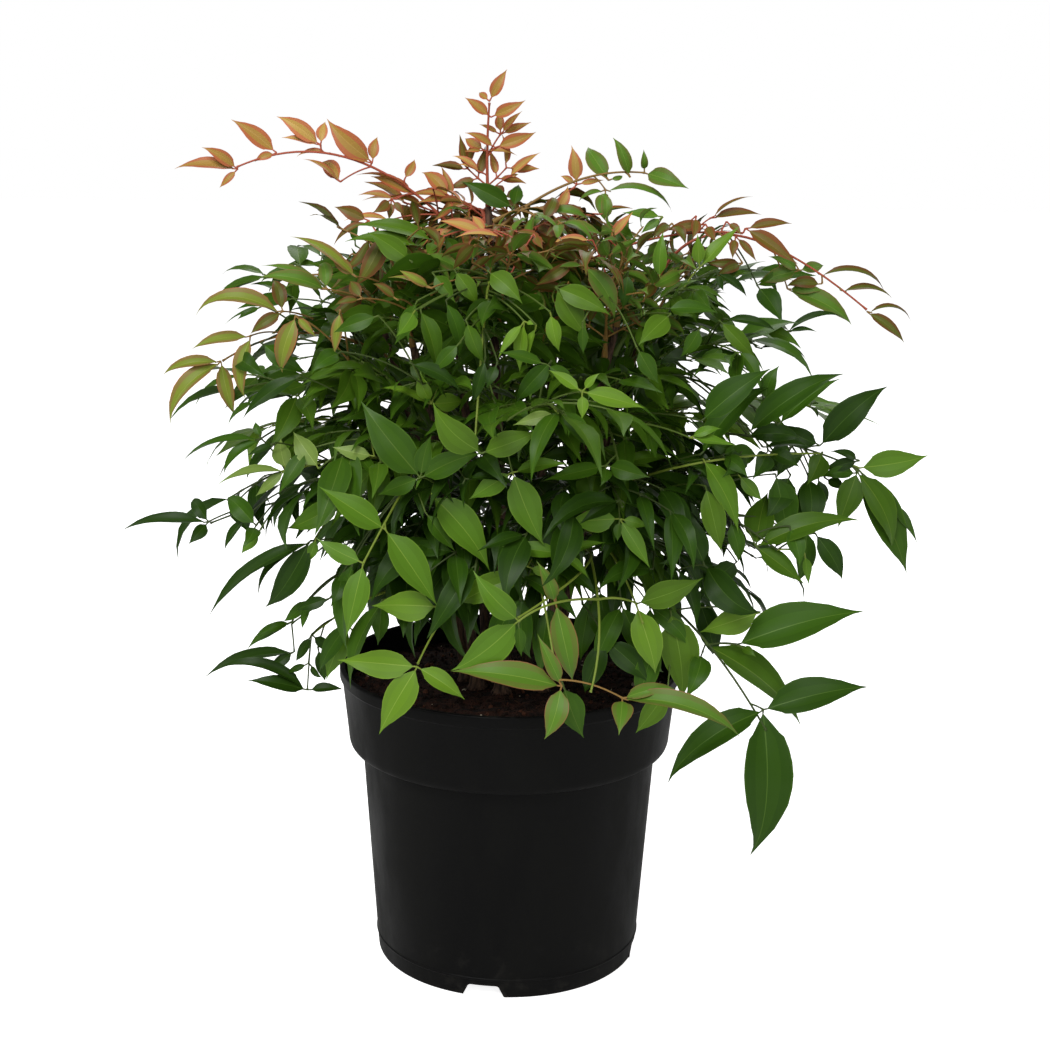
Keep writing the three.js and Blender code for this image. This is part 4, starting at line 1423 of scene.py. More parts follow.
# Leaflets with a place of their own, in millimetres: the joint and the number of the tone, then for each leaflet
# how far its tip stands from the joint, and how broad it shows from the front, in hundredths of its length.
SPRAYS: dict[Tint, tuple[tuple[int, ...], ...]] = {
    Tint.BRONZE: (
        (-174, -21, 532, 1, -41, 4, -1, 21, -22, -3, 13, 39, -12, 0, -12, 36),
        (-150, -17, 542, 1, -29, 4, 20, 37, -14, -1, -6, 48),
        (-123, -12, 547, 2, -28, 4, 17, 39, 2, 12, 14, 49, -25, 1, 4, 23), (-117, -11, 542, 1, -22, 3, -3, 22),
        (-91, -6, 536, 1, -29, 5, 27, 40, 3, 8, 16, 49, -22, 1, 3, 23),
        (-111, -9, 524, 1, -14, 19, 11, 50, -24, -2, 14, 18), (-71, -2, 525, 1, 6, 9, 13, 49),
        (-64, 0, 516, 1, -29, 3, 11, 33, -38, -5, 12, 11), (-76, -2, 513, 1, -25, 3, 2, 26),
        (-42, 2, 515, 1, -19, 14, 14, 48, -21, -2, 2, 28), (-91, -35, 502, 0, -22, 3, 8, 47, -22, -3, -16, 18),
        (-79, -2, 513, 0, -12, -10, -8, 50, -2, -3, -13, 49, 8, -3, -10, 48), (-79, -1, 500, 2, -32, 4, -2, 16),
        (-17, 0, 575, 1, 11, 3, 20, 40, -7, 10, 5, 50), (-16, 3, 565, 1, -17, 3, 12, 45, 22, -2, 11, 43),
        (-10, 16, 554, 1, -1, 8, 14, 48, 14, -2, 15, 28, 20, 0, 8, 31, -14, 1, 6, 33),
        (-13, 7, 546, 1, 26, 4, 10, 40, -20, -2, 9, 33),
        (-20, 8, 544, 1, -13, 11, 7, 48, -13, -2, -1, 34, 21, 0, -3, 24),
        (-22, 9, 530, 2, -19, 3, 10, 28, -16, -1, 5, 23), (-5, 10, 527, 2, 21, 3, 16, 25, 7, 1, 2, 48),
        (40, 30, 522, 2, -4, 3, 25, 47, -11, 2, 5, 48, 18, 1, 3, 28), (27, 24, 504, 2, 7, 7, 17, 49),
        (58, -55, 494, 2, 15, 3, 17, 33), (146, -20, 499, 0, 30, 3, 3, 25, 34, -4, -22, 30),
        (124, -17, 505, 0, 33, 4, 2, 20, 26, -3, 14, 12), (140, -19, 494, 0, -2, -7, -14, 50, 14, -2, -16, 33),
        (115, -15, 506, 0, -3, -10, -14, 49), (121, -16, 501, 0, -26, 3, -5, 35, 6, -13, -10, 50),
        (134, -19, 503, 0, 9, -7, -8, 50), (48, -60, 494, 2, -26, 3, -3, 24),
        (-17, -59, 497, 2, -30, 4, 7, 30, -9, 11, 10, 49), (-7, -66, 496, 2, -30, 3, -2, 16),
        (12, -60, 497, 0, 6, -12, -8, 50),
    ),
    Tint.GREEN: (
        (-49, -63, 493, 2, -50, 6, 7, 18, -3, -13, -10, 50), (-57, -67, 490, 2, -47, 5, 1, 18),
        (-61, -86, 482, 2, -27, 4, 17, 47), (-1, 7, 508, 1, -34, 5, 16, 39, 3, 15, 14, 50),
        (175, 9, 470, 0, -17, 2, -10, 49), (125, -87, 449, 2, 24, 4, -24, 34), (113, -99, 447, 1, -12, 2, -19, 47),
        (-161, 5, 462, 1, -30, 4, -9, 12), (-157, -45, 449, 1, -25, 3, -13, 10, -16, -2, -9, 32),
        (-79, -114, 453, 1, -27, 3, -11, 40), (-56, -114, 462, 1, -14, 4, -27, 37),
        (-102, -107, 339, 0, -35, 5, -19, 41), (-78, -112, 278, 1, -3, 3, -30, 42, -19, -6, -56, 23),
        (222, -38, 347, 0, 26, 7, -54, 34, -11, -2, -37, 50), (227, -26, 343, 1, 34, 4, -68, 33),
        (244, -30, 325, 1, 22, 4, -29, 26), (200, -32, 358, 0, -13, -24, -17, 50),
        (153, -84, 308, 0, 10, 30, 28, 50, 31, -4, -23, 38, 65, 2, 17, 21), (119, -98, 349, 2, 12, 5, -43, 38),
        (124, -95, 247, 0, 62, 5, -55, 25), (144, -100, 248, 0, 9, -10, -4, 50), (78, -113, 278, 2, 41, 5, 16, 42),
        (100, -101, 270, 2, 9, 7, -61, 41), (99, -109, 221, 2, -19, 5, -30, 44), (66, -119, 333, 1, -1, -2, -14, 50),
        (33, -159, 240, 1, 13, 4, -34, 48), (6, -160, 279, 1, 2, 3, -22, 38), (-32, -121, 279, 2, 51, 6, 18, 31),
        (-51, -121, 336, 1, 18, 3, -25, 37),
        (-54, -121, 357, 1, -36, 8, 45, 42, 7, -2, 27, 43, 37, 2, 15, 41, -26, 4, -12, 43),
        (-17, -149, 378, 2, 34, 5, 13, 44, -28, -4, 31, 49),
        (57, -121, 366, 1, 26, -9, -5, 50, -38, -4, -9, 30, -4, -14, -10, 50),
        (25, -112, 471, 2, 21, 4, -31, 45, 33, -4, -16, 40), (41, -127, 452, 1, 1, 2, -19, 38),
        (73, -128, 438, 1, 14, 3, -22, 45), (94, -104, 455, 2, -20, -16, -17, 50),
        (-15, -103, 479, 2, 21, -12, -18, 50), (75, -54, 494, 0, -16, 18, 10, 50), (-43, -55, 496, 0, 15, 3, -20, 42),
        (-48, -99, 477, 0, 14, -6, -17, 50), (-35, -99, 479, 2, 14, 3, -22, 48), (-54, -119, 458, 0, 9, 5, -39, 30),
        (-30, -137, 441, 1, -16, 3, -19, 42), (20, -144, 430, 1, 18, 2, -12, 42, -28, -3, 7, 27),
        (-27, -130, 453, 0, 11, 4, -26, 40),
    ),
    Tint.FRESH: (
        (83, 12, 531, 1, 28, -13, -9, 47, -1, -2, 15, 43), (74, 11, 528, 1, -12, 4, 25, 38),
        (60, 11, 526, 1, -13, 21, 20, 46, 9, 5, 3, 45),
        (58, 11, 520, 1, 44, 6, -15, 11, 1, -10, -20, 47, -17, 1, -8, 24), (18, -27, 502, 0, 5, 17, 14, 47),
        (100, -13, 501, 0, -13, -10, -10, 45, 8, -9, -13, 48), (145, -20, 477, 0, -23, 2, 0, 35, -17, -5, -9, 45),
        (229, 0, 445, 0, 30, 4, -8, 14, 25, -3, -20, 30), (212, 3, 458, 0, 35, 4, -6, 16),
        (198, 6, 468, 0, 44, 5, -13, 14), (178, 8, 458, 1, 44, 5, -24, 32, 24, -3, -1, 34),
        (185, 8, 470, 1, -27, 3, -9, 42, -21, -3, 9, 39, 18, 14, 2, 42), (200, 5, 462, 0, -23, 3, -3, 41),
        (-185, -39, 413, 2, -38, 5, -11, 25, -32, -5, -41, 27, 8, 1, -35, 36),
        (-163, -59, 432, 2, -38, 5, -10, 25, -3, -4, -39, 34), (-142, -69, 449, 2, -54, 6, -5, 22),
        (-141, -70, 449, 0, -8, 16, 17, 46, -20, -2, -14, 45), (-132, -81, 448, 2, -9, 4, -36, 41, 13, -2, -13, 38),
        (-103, -100, 454, 2, -4, 3, -27, 30), (-95, -81, 472, 2, -41, 6, 23, 15, -16, 8, 12, 45),
        (-113, -79, 464, 1, -6, 17, 13, 50, -40, -4, 7, 26, -27, 1, -1, 24, -41, 5, 13, 13),
        (-48, -109, 469, 2, -19, 2, 10, 32, -26, -3, 6, 18), (-90, -99, 461, 0, -8, 13, 9, 50, -16, -2, -4, 35),
        (-68, -110, 462, 0, -15, 2, 9, 38), (32, -165, 242, 1, -66, 7, 6, 28, -10, -7, -31, 48, -15, 1, 32, 27),
        (68, -165, 235, 1, 31, 3, 5, 29, 71, -4, -24, 16, -3, -26, -14, 50),
        (28, -142, 286, 1, 11, 6, -50, 37, -12, -3, 27, 36), (43, -92, 482, 1, 18, 4, -33, 40, -18, -2, -2, 25),
        (37, -91, 484, 0, -24, 3, -15, 34), (57, -51, 504, 1, -4, 9, 17, 46), (-2, -46, 500, 0, 1, -10, -8, 50),
    ),
    Tint.BRIGHT: (
        (115, -50, 477, 1, 25, 5, 26, 26, -2, -2, 21, 46), (88, -84, 473, 0, 2, 4, 29, 34),
        (94, -12, 505, 0, -26, 3, 2, 31, -14, -1, -11, 37), (-57, -120, 457, 0, -10, -18, -13, 50),
        (-139, -86, 353, 2, -5, 20, 16, 50, -43, -5, -10, 19, -19, 1, -17, 28), (-117, -99, 357, 2, -17, 14, 20, 50),
        (-82, -113, 368, 2, -26, 3, 5, 38), (-157, -74, 312, 0, -13, 3, -17, 40), (-119, -99, 314, 0, -6, 2, -17, 44),
        (-100, -96, 256, 0, -15, 5, -37, 37, 11, -8, -8, 50), (223, -38, 349, 0, 45, 5, 8, 42),
        (117, -98, 366, 0, 24, 6, -48, 28), (140, -86, 354, 0, 16, 3, -17, 41), (183, -88, 305, 0, 4, 2, -21, 33),
        (105, -133, 386, 0, 19, 2, 5, 35, 28, -3, -4, 24), (156, -97, 269, 1, -37, 5, -15, 46),
        (78, -114, 277, 1, 13, 5, -45, 44), (66, -119, 333, 0, -32, 4, -3, 50, 19, -3, -30, 32, 18, 1, -5, 42),
        (-55, -135, 243, 1, -49, 5, 2, 38, -23, -5, -42, 42, 29, 1, -21, 35),
        (6, -160, 280, 0, -40, 6, -33, 42, -27, -4, 32, 40),
        (32, -124, 312, 0, -37, 4, 3, 25, 16, -2, -15, 31, 26, 1, 7, 26), (11, -129, 305, 1, 16, 2, -6, 42),
        (-47, -122, 347, 0, 35, 7, -49, 36), (-74, -134, 328, 0, 31, 6, -49, 36, -39, -5, 27, 38),
        (-86, -149, 311, 0, -28, 4, 14, 40, -10, -5, -44, 37), (-43, -121, 277, 1, -41, 3, -1, 50),
        (1, -125, 362, 0, -26, 4, -18, 43, 34, -4, 6, 26, 20, 2, -46, 42),
        (-49, -94, 397, 1, -34, 4, 8, 18, -6, -2, 21, 50, 20, 16, 0, 50),
        (41, -148, 415, 1, 37, 4, -10, 29, 0, -3, -16, 50, 10, 0, 11, 40, -20, 3, 12, 33),
        (27, -154, 403, 2, -26, 4, -8, 31), (22, -126, 458, 1, 6, 3, -24, 43),
        (7, -132, 453, 1, -2, 4, -31, 30, -15, -2, -22, 27, 6, -6, -1, 50), (14, -132, 451, 1, -5, 3, -26, 23),
    ),
    Tint.DARK: (
        (156, -12, 462, 0, 15, -19, -22, 50), (126, -44, 474, 1, 20, 3, -16, 25, 5, -2, -12, 42),
        (171, -43, 437, 1, 38, 5, 8, 11, 20, -2, 0, 17), (149, -78, 432, 1, 32, 4, -9, 19),
        (128, -83, 450, 1, 32, 4, -8, 19), (-126, -110, 416, 1, -36, 5, -28, 22), (-154, -75, 430, 2, 27, 4, -18, 43),
        (-101, -119, 432, 2, -16, -16, -11, 50), (-172, -57, 418, 0, 22, -22, -9, 48),
        (-156, -72, 370, 2, -53, 7, -20, 11, -23, -3, -24, 27, -4, 8, 9, 50),
        (-146, -80, 369, 1, -19, 4, -26, 26, -17, -2, -8, 30),
        (-199, -18, 303, 1, -61, 7, -10, 10, -14, 17, 9, 50, -12, -11, -13, 50),
        (-160, -71, 314, 2, -21, 20, 13, 50, -6, -19, -10, 50), (-167, -64, 318, 1, -15, 3, -24, 22),
        (-123, -97, 311, 1, -30, 7, -45, 34, -65, -4, -52, 10, -33, 2, -38, 14),
        (-149, 21, 202, 1, -66, 4, -24, 12, -19, -2, -12, 43), (-139, -67, 250, 2, -30, 4, -21, 25, -22, -3, -9, 28),
        (-111, -98, 275, 1, -22, 2, -9, 39), (-102, -106, 294, 0, -7, -14, -19, 50),
        (-124, -55, 229, 0, 4, 3, -24, 39), (-125, -89, 272, 2, -17, 2, -16, 37, -5, -2, -20, 31),
        (-131, -57, 201, 1, -62, 7, 9, 12, -39, -4, 7, 30, 24, 1, 0, 29),
        (-126, -72, 243, 1, -11, 3, -19, 35, 14, -2, -12, 46), (-130, -57, 219, 0, -14, 2, -8, 36, 9, -1, -9, 44),
        (-96, -109, 301, 2, -12, 5, -37, 35, -3, -5, -56, 25), (-99, -98, 260, 0, -20, 4, -35, 32),
        (112, -128, 395, 0, 41, 6, 31, 38), (115, -99, 369, 0, 45, 7, 42, 30), (142, -109, 385, 0, 58, 8, 35, 27),
        (153, -93, 401, 2, 9, 2, 22, 50), (163, -87, 386, 2, 38, 5, 28, 22), (145, -80, 378, 1, 34, 4, -4, 40),
        (198, -31, 362, 1, 43, 7, 38, 37, -24, 9, 13, 50), (222, -38, 346, 2, -23, 3, -4, 45),
        (142, -83, 368, 0, -14, -22, -12, 50, -22, -2, 7, 47), (160, -69, 366, 0, -12, -23, -14, 50, 20, -2, -10, 50),
        (166, -64, 350, 2, 10, 5, -44, 47), (129, -92, 367, 2, 15, -14, -11, 50, 9, 11, 4, 50),
        (177, -51, 365, 0, -21, -23, -5, 50, -9, -2, -20, 46), (191, -34, 343, 0, -3, -12, -37, 50),
        (223, -38, 354, 1, -23, 3, -7, 41, -20, -2, 6, 35), (198, -33, 342, 1, 1, 3, -24, 42),
        (129, -92, 365, 2, 24, 23, -3, 46), (156, -73, 369, 0, 31, 4, -1, 22), (189, -37, 358, 0, -29, 4, -15, 36),
        (203, -27, 340, 0, 13, -9, -7, 50), (177, -53, 347, 0, -18, -18, -26, 50),
        (195, -27, 340, 0, -15, -18, -31, 50), (188, -59, 314, 2, -4, 4, -37, 39),
        (175, -56, 313, 0, -8, -9, -11, 50), (173, -87, 322, 2, 6, -10, -24, 50), (189, -88, 318, 1, 19, 4, -31, 40),
        (120, -98, 299, 1, 36, -7, -27, 50, -9, 14, 33, 50), (136, -89, 326, 2, 6, 3, -28, 41),
        (142, -100, 249, 2, 79, 5, 21, 32), (158, -116, 212, 0, 66, 8, 13, 31, -58, -4, -48, 26, -4, 2, -98, 34),
        (121, -96, 242, 2, -12, -19, -24, 50), (121, -63, 267, 1, 10, 4, -38, 44),
        (57, -67, 274, 2, -16, 5, -42, 39, 8, -8, -34, 50), (70, -91, 271, 2, 13, 5, -37, 42, -14, -4, -40, 39),
        (87, -95, 272, 2, 11, 5, -45, 37, 26, -4, -27, 38), (51, -70, 268, 2, -5, 4, -42, 38, 11, -4, -32, 38),
        (60, -101, 251, 1, -12, 4, -36, 45, 28, -4, -27, 44), (91, -101, 251, 2, -8, 5, -42, 42),
        (7, -125, 285, 0, -12, 5, -37, 46, 7, -4, -38, 46), (24, -116, 277, 2, 9, 4, -41, 39, -5, -5, -44, 35),
        (-39, -118, 463, 2, 7, 5, -35, 31), (91, -102, 458, 2, 32, 4, -3, 27), (69, -88, 478, 0, -3, 2, -23, 45),
        (23, -144, 432, 0, -20, 4, -25, 44), (-8, -145, 431, 1, -6, -5, -15, 50), (-59, -138, 429, 1, 30, 4, -18, 26),
        (-15, -144, 433, 1, -7, 4, -27, 34),
    ),
}

# Openings through the crown, as seen from the front. Each is its place across and up, in mm, and its radius.
GAPS: tuple[tuple[int, int, int], ...] = (
    (-124, 488, 10), (-109, 483, 6), (-148, 475, 4), (-168, 472, 3), (-134, 418, 8), (-136, 407, 5), (-160, 409, 5),
    (-149, 443, 3), (-109, 424, 3), (-170, 373, 5), (-161, 360, 3), (-156, 380, 4), (-180, 365, 3), (-110, 378, 3),
    (-123, 375, 3), (-126, 367, 3), (-84, 380, 3), (-177, 323, 5), (-186, 317, 3), (-157, 322, 3), (-141, 325, 3),
    (-191, 309, 3), (-84, 344, 3), (-123, 344, 3), (-130, 265, 8), (-118, 270, 5), (-142, 247, 9), (-127, 249, 5),
    (-162, 236, 4), (-152, 231, 3), (-166, 241, 3), (55, 505, 4), (140, 452, 6), (145, 461, 4), (157, 461, 3),
    (123, 393, 5), (130, 399, 4), (117, 377, 5), (116, 366, 3), (112, 410, 5), (83, 408, 3), (95, 451, 3),
    (106, 485, 3), (160, 277, 6), (165, 263, 5), (172, 251, 5), (155, 248, 5), (142, 253, 4), (136, 282, 4),
    (177, 267, 3), (191, 257, 3), (189, 376, 7), (176, 379, 4), (3, 545, 4), (-77, 503, 4), (-61, 419, 3),
    (-71, 414, 4),
)

# Long stalks with a course of their own, in millimetres: where each starts, its knee, and its end.
LONG_STALKS = (
    (50, -84, 301, 59, -160, 276, 49, -167, 239),
    (54, -125, 284, 24, -158, 295, 6, -160, 280),
    (54, -125, 284, 66, -136, 290, 78, -112, 278),
    (72, -48, 339, 112, -150, 381, 198, -32, 357),
)


@dataclass
class FillRule:
    """Leaves set by the golden angle over the crown's rounded shell, from its foot to its top."""

    count: int = 24
    seed: int = 77
    first_azimuth: float = 70
    depths: tuple[float, ...] = (1, 0.96, 0.6)
    crowding: float = 0.8
    lowest_rise: float = -0.6
    highest_rise: float = 0.992
    heart: float = 325
    below: float = 125
    above: float = 178
    reach: float = 212
    squareness: float = 2.6
    front_rise: float = 0.25
    low_front_reach: float = 0.62
    high_front_reach: float = 0.88
    leaflets: tuple[float, float] = (64, 56)
    arches: tuple[float, float] = (36, 18)
    droops: tuple[float, float] = (18, 10)
    seats: tuple[float, float] = (0.36, 1)
    seat_limits: tuple[float, float] = (0.34, 0.96)
    seat_play: float = 0.06
    height_play: float = 8
    droop_play: float = 8
    roll_play: float = 14
    reach_play: tuple[float, float] = (0.9, 1.06)
    arch_play: tuple[float, float] = (0.8, 1.2)
    leaflet_play: tuple[float, float] = (0.92, 1.1)
    pinnae: tuple[int, ...] = (3, 3, 3, 1)
    low_pinnae: tuple[int, ...] = (3, 1)
    low_rise: float = -0.3
    name: str = "fill"
    tints: tuple[tuple[float, Tint], ...] = (
        (0.86, Tint.FRESH), (0.6, Tint.GREEN), (0.42, Tint.BRIGHT), (-1, Tint.DARK))
    plain_front: float = 0.3
    tall_cane: int = len(CANE_ROWS) - 1
    tall_reach: float = 80

    def cane_for(self, azimuth: float, reach: float) -> int:
        """The cane below a leaf, or the tall one for a leaf near the middle of the top.

        Args:
            azimuth: The leaf's azimuth.
            reach: How far out it ends.

        Returns:
            The cane's number.
        """
        if reach < self.tall_reach:
            return self.tall_cane
        turns = [math.cos(math.radians(row.azimuth - azimuth)) for row in CANE_ROWS[: self.tall_cane]]
        return turns.index(max(turns))

    def tint_at(self, level: float) -> Tint:
        """The tint of a leaf at a level of the crown."""
        return next(tint for start, tint in self.tints if level > start)

    def rows(self) -> list[LeafRow]:
        """Every leaf of the rule.

        Returns:
            The rows, from the lowest leaf to the highest.
        """
        draw = SeededDraw(self.seed)
        made = []
        for i in range(self.count):
            level = ((i + 0.5) / self.count) ** self.crowding
            rise = mix(self.lowest_rise, self.highest_rise, level)
            azimuth = (self.first_azimuth + i * GOLDEN_ANGLE) % 360
            shell = (self.below if rise < 0 else self.above) * abs(rise) ** (2 / self.squareness)
            height = self.heart + math.copysign(shell, rise) + draw.between(-self.height_play, self.height_play)
            front = max(0.0, -math.sin(math.radians(azimuth)))
            front_reach = self.low_front_reach if rise < self.front_rise else self.high_front_reach
            depth = self.depths[i % len(self.depths)]
            shell_reach = depth * self.reach * (1 - rise * rise) ** (1 / self.squareness)
            seat = mix(*self.seats, level) + draw.between(-self.seat_play, self.seat_play)
            at = clamp(seat, *self.seat_limits)
            reach = shell_reach * mix(1, front_reach, front) * draw.between(*self.reach_play)
            arch = mix(*self.arches, level) * draw.between(*self.arch_play)
            leaflet = mix(*self.leaflets, level) * draw.between(*self.leaflet_play)
            droop = mix(*self.droops, level) + draw.between(-self.droop_play, self.droop_play)
            roll = draw.between(-self.roll_play, self.roll_play)
            tint = self.tint_at(level)
            if tint == Tint.BRIGHT and front > self.plain_front:
                tint = Tint.GREEN
            pinnae = self.low_pinnae if rise < self.low_rise and front else self.pinnae
            made.append(LeafRow(
                f"{self.name}_{i + 1:02d}", self.cane_for(azimuth, shell_reach), at, azimuth, reach, height, arch,
                leaflet, pinnae, droop, tint, roll=roll))
        return made


@dataclass
class StalkRule:
    """How leaf stalks find a way from their cane to their last joint."""

    base_radius: float = 1.6
    segments: int = 4
    clearance: float = 1.2
    seat_limits: tuple[float, float] = (0.05, 0.97)
    shifts: tuple[float, ...] = (0, 9, -9, 18, -18)
    turns: tuple[float, ...] = (0, 7, -7, 14, -14)

    def line(self, row: LeafRow, cane: Cane, turn: float, shift: float) -> Arc:
        """A stalk's middle line.

        Args:
            row: The leaf.
            cane: The cane that it springs from.
            turn: Degrees that its azimuth is turned by.
            shift: How far its seat is moved up the cane.

        Returns:
            The line from the cane's bark to the last joint.
        """
        end = UP * row.height + heading(row.azimuth + turn) * row.reach
        part = 1.0 if row.at == 1 else clamp(row.at + shift / cane.length, *self.seat_limits)
        heart, grain = cane.line.point(part), cane.line.tangent(part)
        if row.at == 1:
            start = heart + grain * SEAT_GAP
            knee = start + grain * ((end - start).length / 2) + UP * (row.arch / 2)
            return Arc(start, knee, end)
        flat = end - heart
        flat.z = 0
        aside = flat.normalized().cross(UP)
        knee = heart.lerp(end, 0.5) + UP * row.arch + aside * row.bend
        lead = (knee - heart).normalized()
        rise = lead.dot(grain)
        outward = (lead - grain * rise).normalized()
        offset = cane.radius(part) + SEAT_GAP + self.base_radius * abs(rise)
        return Arc(heart + outward * offset, knee, end)

    def route(
        self, row: LeafRow, canes: Sequence[Cane], taken: Sequence[tuple[Vector, Vector]], pot: NurseryPot
    ) -> Arc | None:
        """A line that clears every other stalk and every cane but its own.

        Args:
            row: The leaf.
            canes: All canes.
            taken: The stretches of the stalks that are there already.
            pot: The pot, which the stalk stays out of.

        Returns:
            The line, or None if there is no room for it.
        """
        room = 2 * self.base_radius + self.clearance
        limbs = [pair for cane in canes if cane.number != row.cane for pair in cane.line.stretches(cane.rings)]
        cane_room = self.base_radius + canes[0].foot_radius + self.clearance
        for shift in self.shifts:
            for turn in self.turns:
                line = self.line(row, canes[row.cane], turn, shift)
                if all(
                    not pot.holds(a) and not pot.holds(b)
                    and all(stretch_distance(a, b, c, d) > room for c, d in taken)
                    and all(stretch_distance(a, b, c, d) > cane_room for c, d in limbs)
                    for a, b in line.stretches(self.segments)
                ):
                    return line
        return None


@dataclass
class LeafletPattern:
    """The shape of one leaflet of length 1, with its base at the origin and its tip on the X axis."""

    habit: Habit
    number: int
    ratio: float
    bend: float
    sweep: float
    fold: float
    curl: float
    wave: float
    skew: float
    margin_share: float = 0.06
    flush_share: float = 0.52
    rib_share: float = 0.03
    base_power: float = 0.95
    tip_power: float = 1.75
    bend_growth: float = 1.35
    fine: bool = False
    stations: tuple[float, ...] = (0.0, 0.055, 0.15, 0.28, 0.44, 0.62, 0.8, 1.0)
    outline_at: tuple[float, ...] = (0.15, 0.44, 0.8)
    spine_steps: int = 40
    outline_points: list[Vector] = field(init=False)

    def __post_init__(self) -> None:
        """Gives a fine pattern a station more between its neighbours, and works out the outline."""
        if self.fine:
            halves = [mix(a, b, 0.5) for a, b in zip(self.stations[1:], self.stations[2:])]
            self.stations = tuple(sorted((*self.stations, *halves)))
        self.outline_points = self.outline()

    def half_width(self, part: float) -> float:
        """Half the blade's width.

        Args:
            part: Part of its length.

        Returns:
            The width as a share of the length.
        """
        widest = self.base_power / (self.base_power + self.tip_power)
        shape = (part / widest) ** self.base_power * ((1 - part) / (1 - widest)) ** self.tip_power
        return self.ratio / 2 * shape

    def spine(self) -> list[tuple[Vector, Vector, Vector]]:
        """The midrib's place, across direction and face direction at each station.

        Returns:
            One row for each station, turned so that the tip lies on the X axis at 1.
        """
        steps = self.spine_steps
        place, rows, next_station = Vector((0, 0, 0)), [], 0
        for step in range(steps + 1):
            part = step / steps
            down, aside = self.bend * part ** self.bend_growth, self.sweep * part**1.5
            ahead = Vector((math.cos(down) * math.cos(aside), math.sin(aside), -math.sin(down) * math.cos(aside)))
            across = Vector((-math.sin(aside), math.cos(aside), 0))
            while next_station < len(self.stations) and self.stations[next_station] <= part + 1e-6:
                rows.append((place.copy(), across, ahead.cross(across)))
                next_station += 1
            place = place + ahead / steps
        tip = rows[-1][0]
        level = tip.to_track_quat("X", "Z").inverted()
        return [(level @ spot / tip.length, level @ across, level @ face) for spot, across, face in rows]

    def ring(self, station: int, spine: Sequence[tuple[Vector, Vector, Vector]]) -> list[Vector]:
        """The eight points across the leaflet at a station, from one edge to the other.

        Args:
            station: Number of the station.
            spine: The midrib.

        Returns:
            The points.
        """
        spot, across, face = spine[station]
        part = self.stations[station]
        half = self.half_width(part)
        rib = self.rib_share * self.ratio / 2 * (1 - 0.75 * part) / max(half, 1e-4)
        made = []
        right = (rib, self.flush_share, 1 - self.margin_share, 1)
        for share in (*(-value for value in reversed(right)), *right):
            side = half * (1 + math.copysign(self.skew, share))
            lift = abs(share) * math.sin(self.fold) - self.curl * share * share
            ripple = self.wave * math.sin(part * 11 + (2.1 if share > 0 else 0) + self.number) * share * share
            made.append(spot + across * (side * share * math.cos(self.fold)) + face * (side * (lift + ripple)))
        return made

    def mesh(self) -> Mesh:
        """The leaflet as an open sheet whose faces carry their zone.

        Returns:
            The mesh, with a length of one metre.
        """
        spine = self.spine()
        last = len(self.stations) - 1
        points = [spine[0][0]]
        for station in range(1, last):
            points += self.ring(station, spine)
        points.append(spine[-1][0])
        zones = (Zone.MARGIN, Zone.FLUSH, Zone.BLADE, Zone.RIB, Zone.BLADE, Zone.FLUSH, Zone.MARGIN)
        across = len(zones) + 1
        faces = []
        for strip in range(len(zones)):
            faces.append((0, 1 + strip, 2 + strip))
            for low in range(1 + strip, 1 + strip + across * (last - 2), across):
                faces.append((low, low + across, low + across + 1, low + 1))
            final = 1 + across * (last - 2) + strip
            faces.append((final, len(points) - 1, final + 1))
        kinds = [int(zone) for zone in zones for _ in range(last)]
        mesh = mesh_of(f"leaflet_{self.number:02d}", [p / MM for p in points], faces)
        zone_data = mesh.attributes.new("zone", "INT", "FACE")
        zone_data.data.foreach_set("value", kinds)
        return mesh

    def outline(self) -> list[Vector]:
        """Points for clearance tests: tip, then left, middle and right at three stations.

        Returns:
            Ten points.
        """
        spine = self.spine()
        made = [spine[-1][0]]
        for station in (self.stations.index(part) for part in self.outline_at):
            ring = self.ring(station, spine)
            made += [ring[0], (ring[3] + ring[4]) / 2, ring[7]]
        return made


# The faces between the points of a leaflet's outline.
OUTLINE_FACES = (
    (1, 4, 5), (1, 5, 2), (2, 5, 6), (2, 6, 3), (4, 7, 8), (4, 8, 5), (5, 8, 9), (5, 9, 6), (7, 0, 8), (8, 0, 9),
)


# The habits that the leaflets of each tint are drawn from.
HABITS = {
    Tint.BRONZE: (Habit.YOUNG, Habit.YOUNG, Habit.ARCHED),
    Tint.FRESH: (Habit.CLAWED, Habit.ARCHED, Habit.CLAWED),
    Tint.BRIGHT: (Habit.FLAT, Habit.ARCHED, Habit.FLAT),
    Tint.GREEN: (Habit.ARCHED, Habit.FLAT, Habit.ARCHED),
    Tint.DARK: (Habit.ARCHED, Habit.CLAWED, Habit.ARCHED),
}


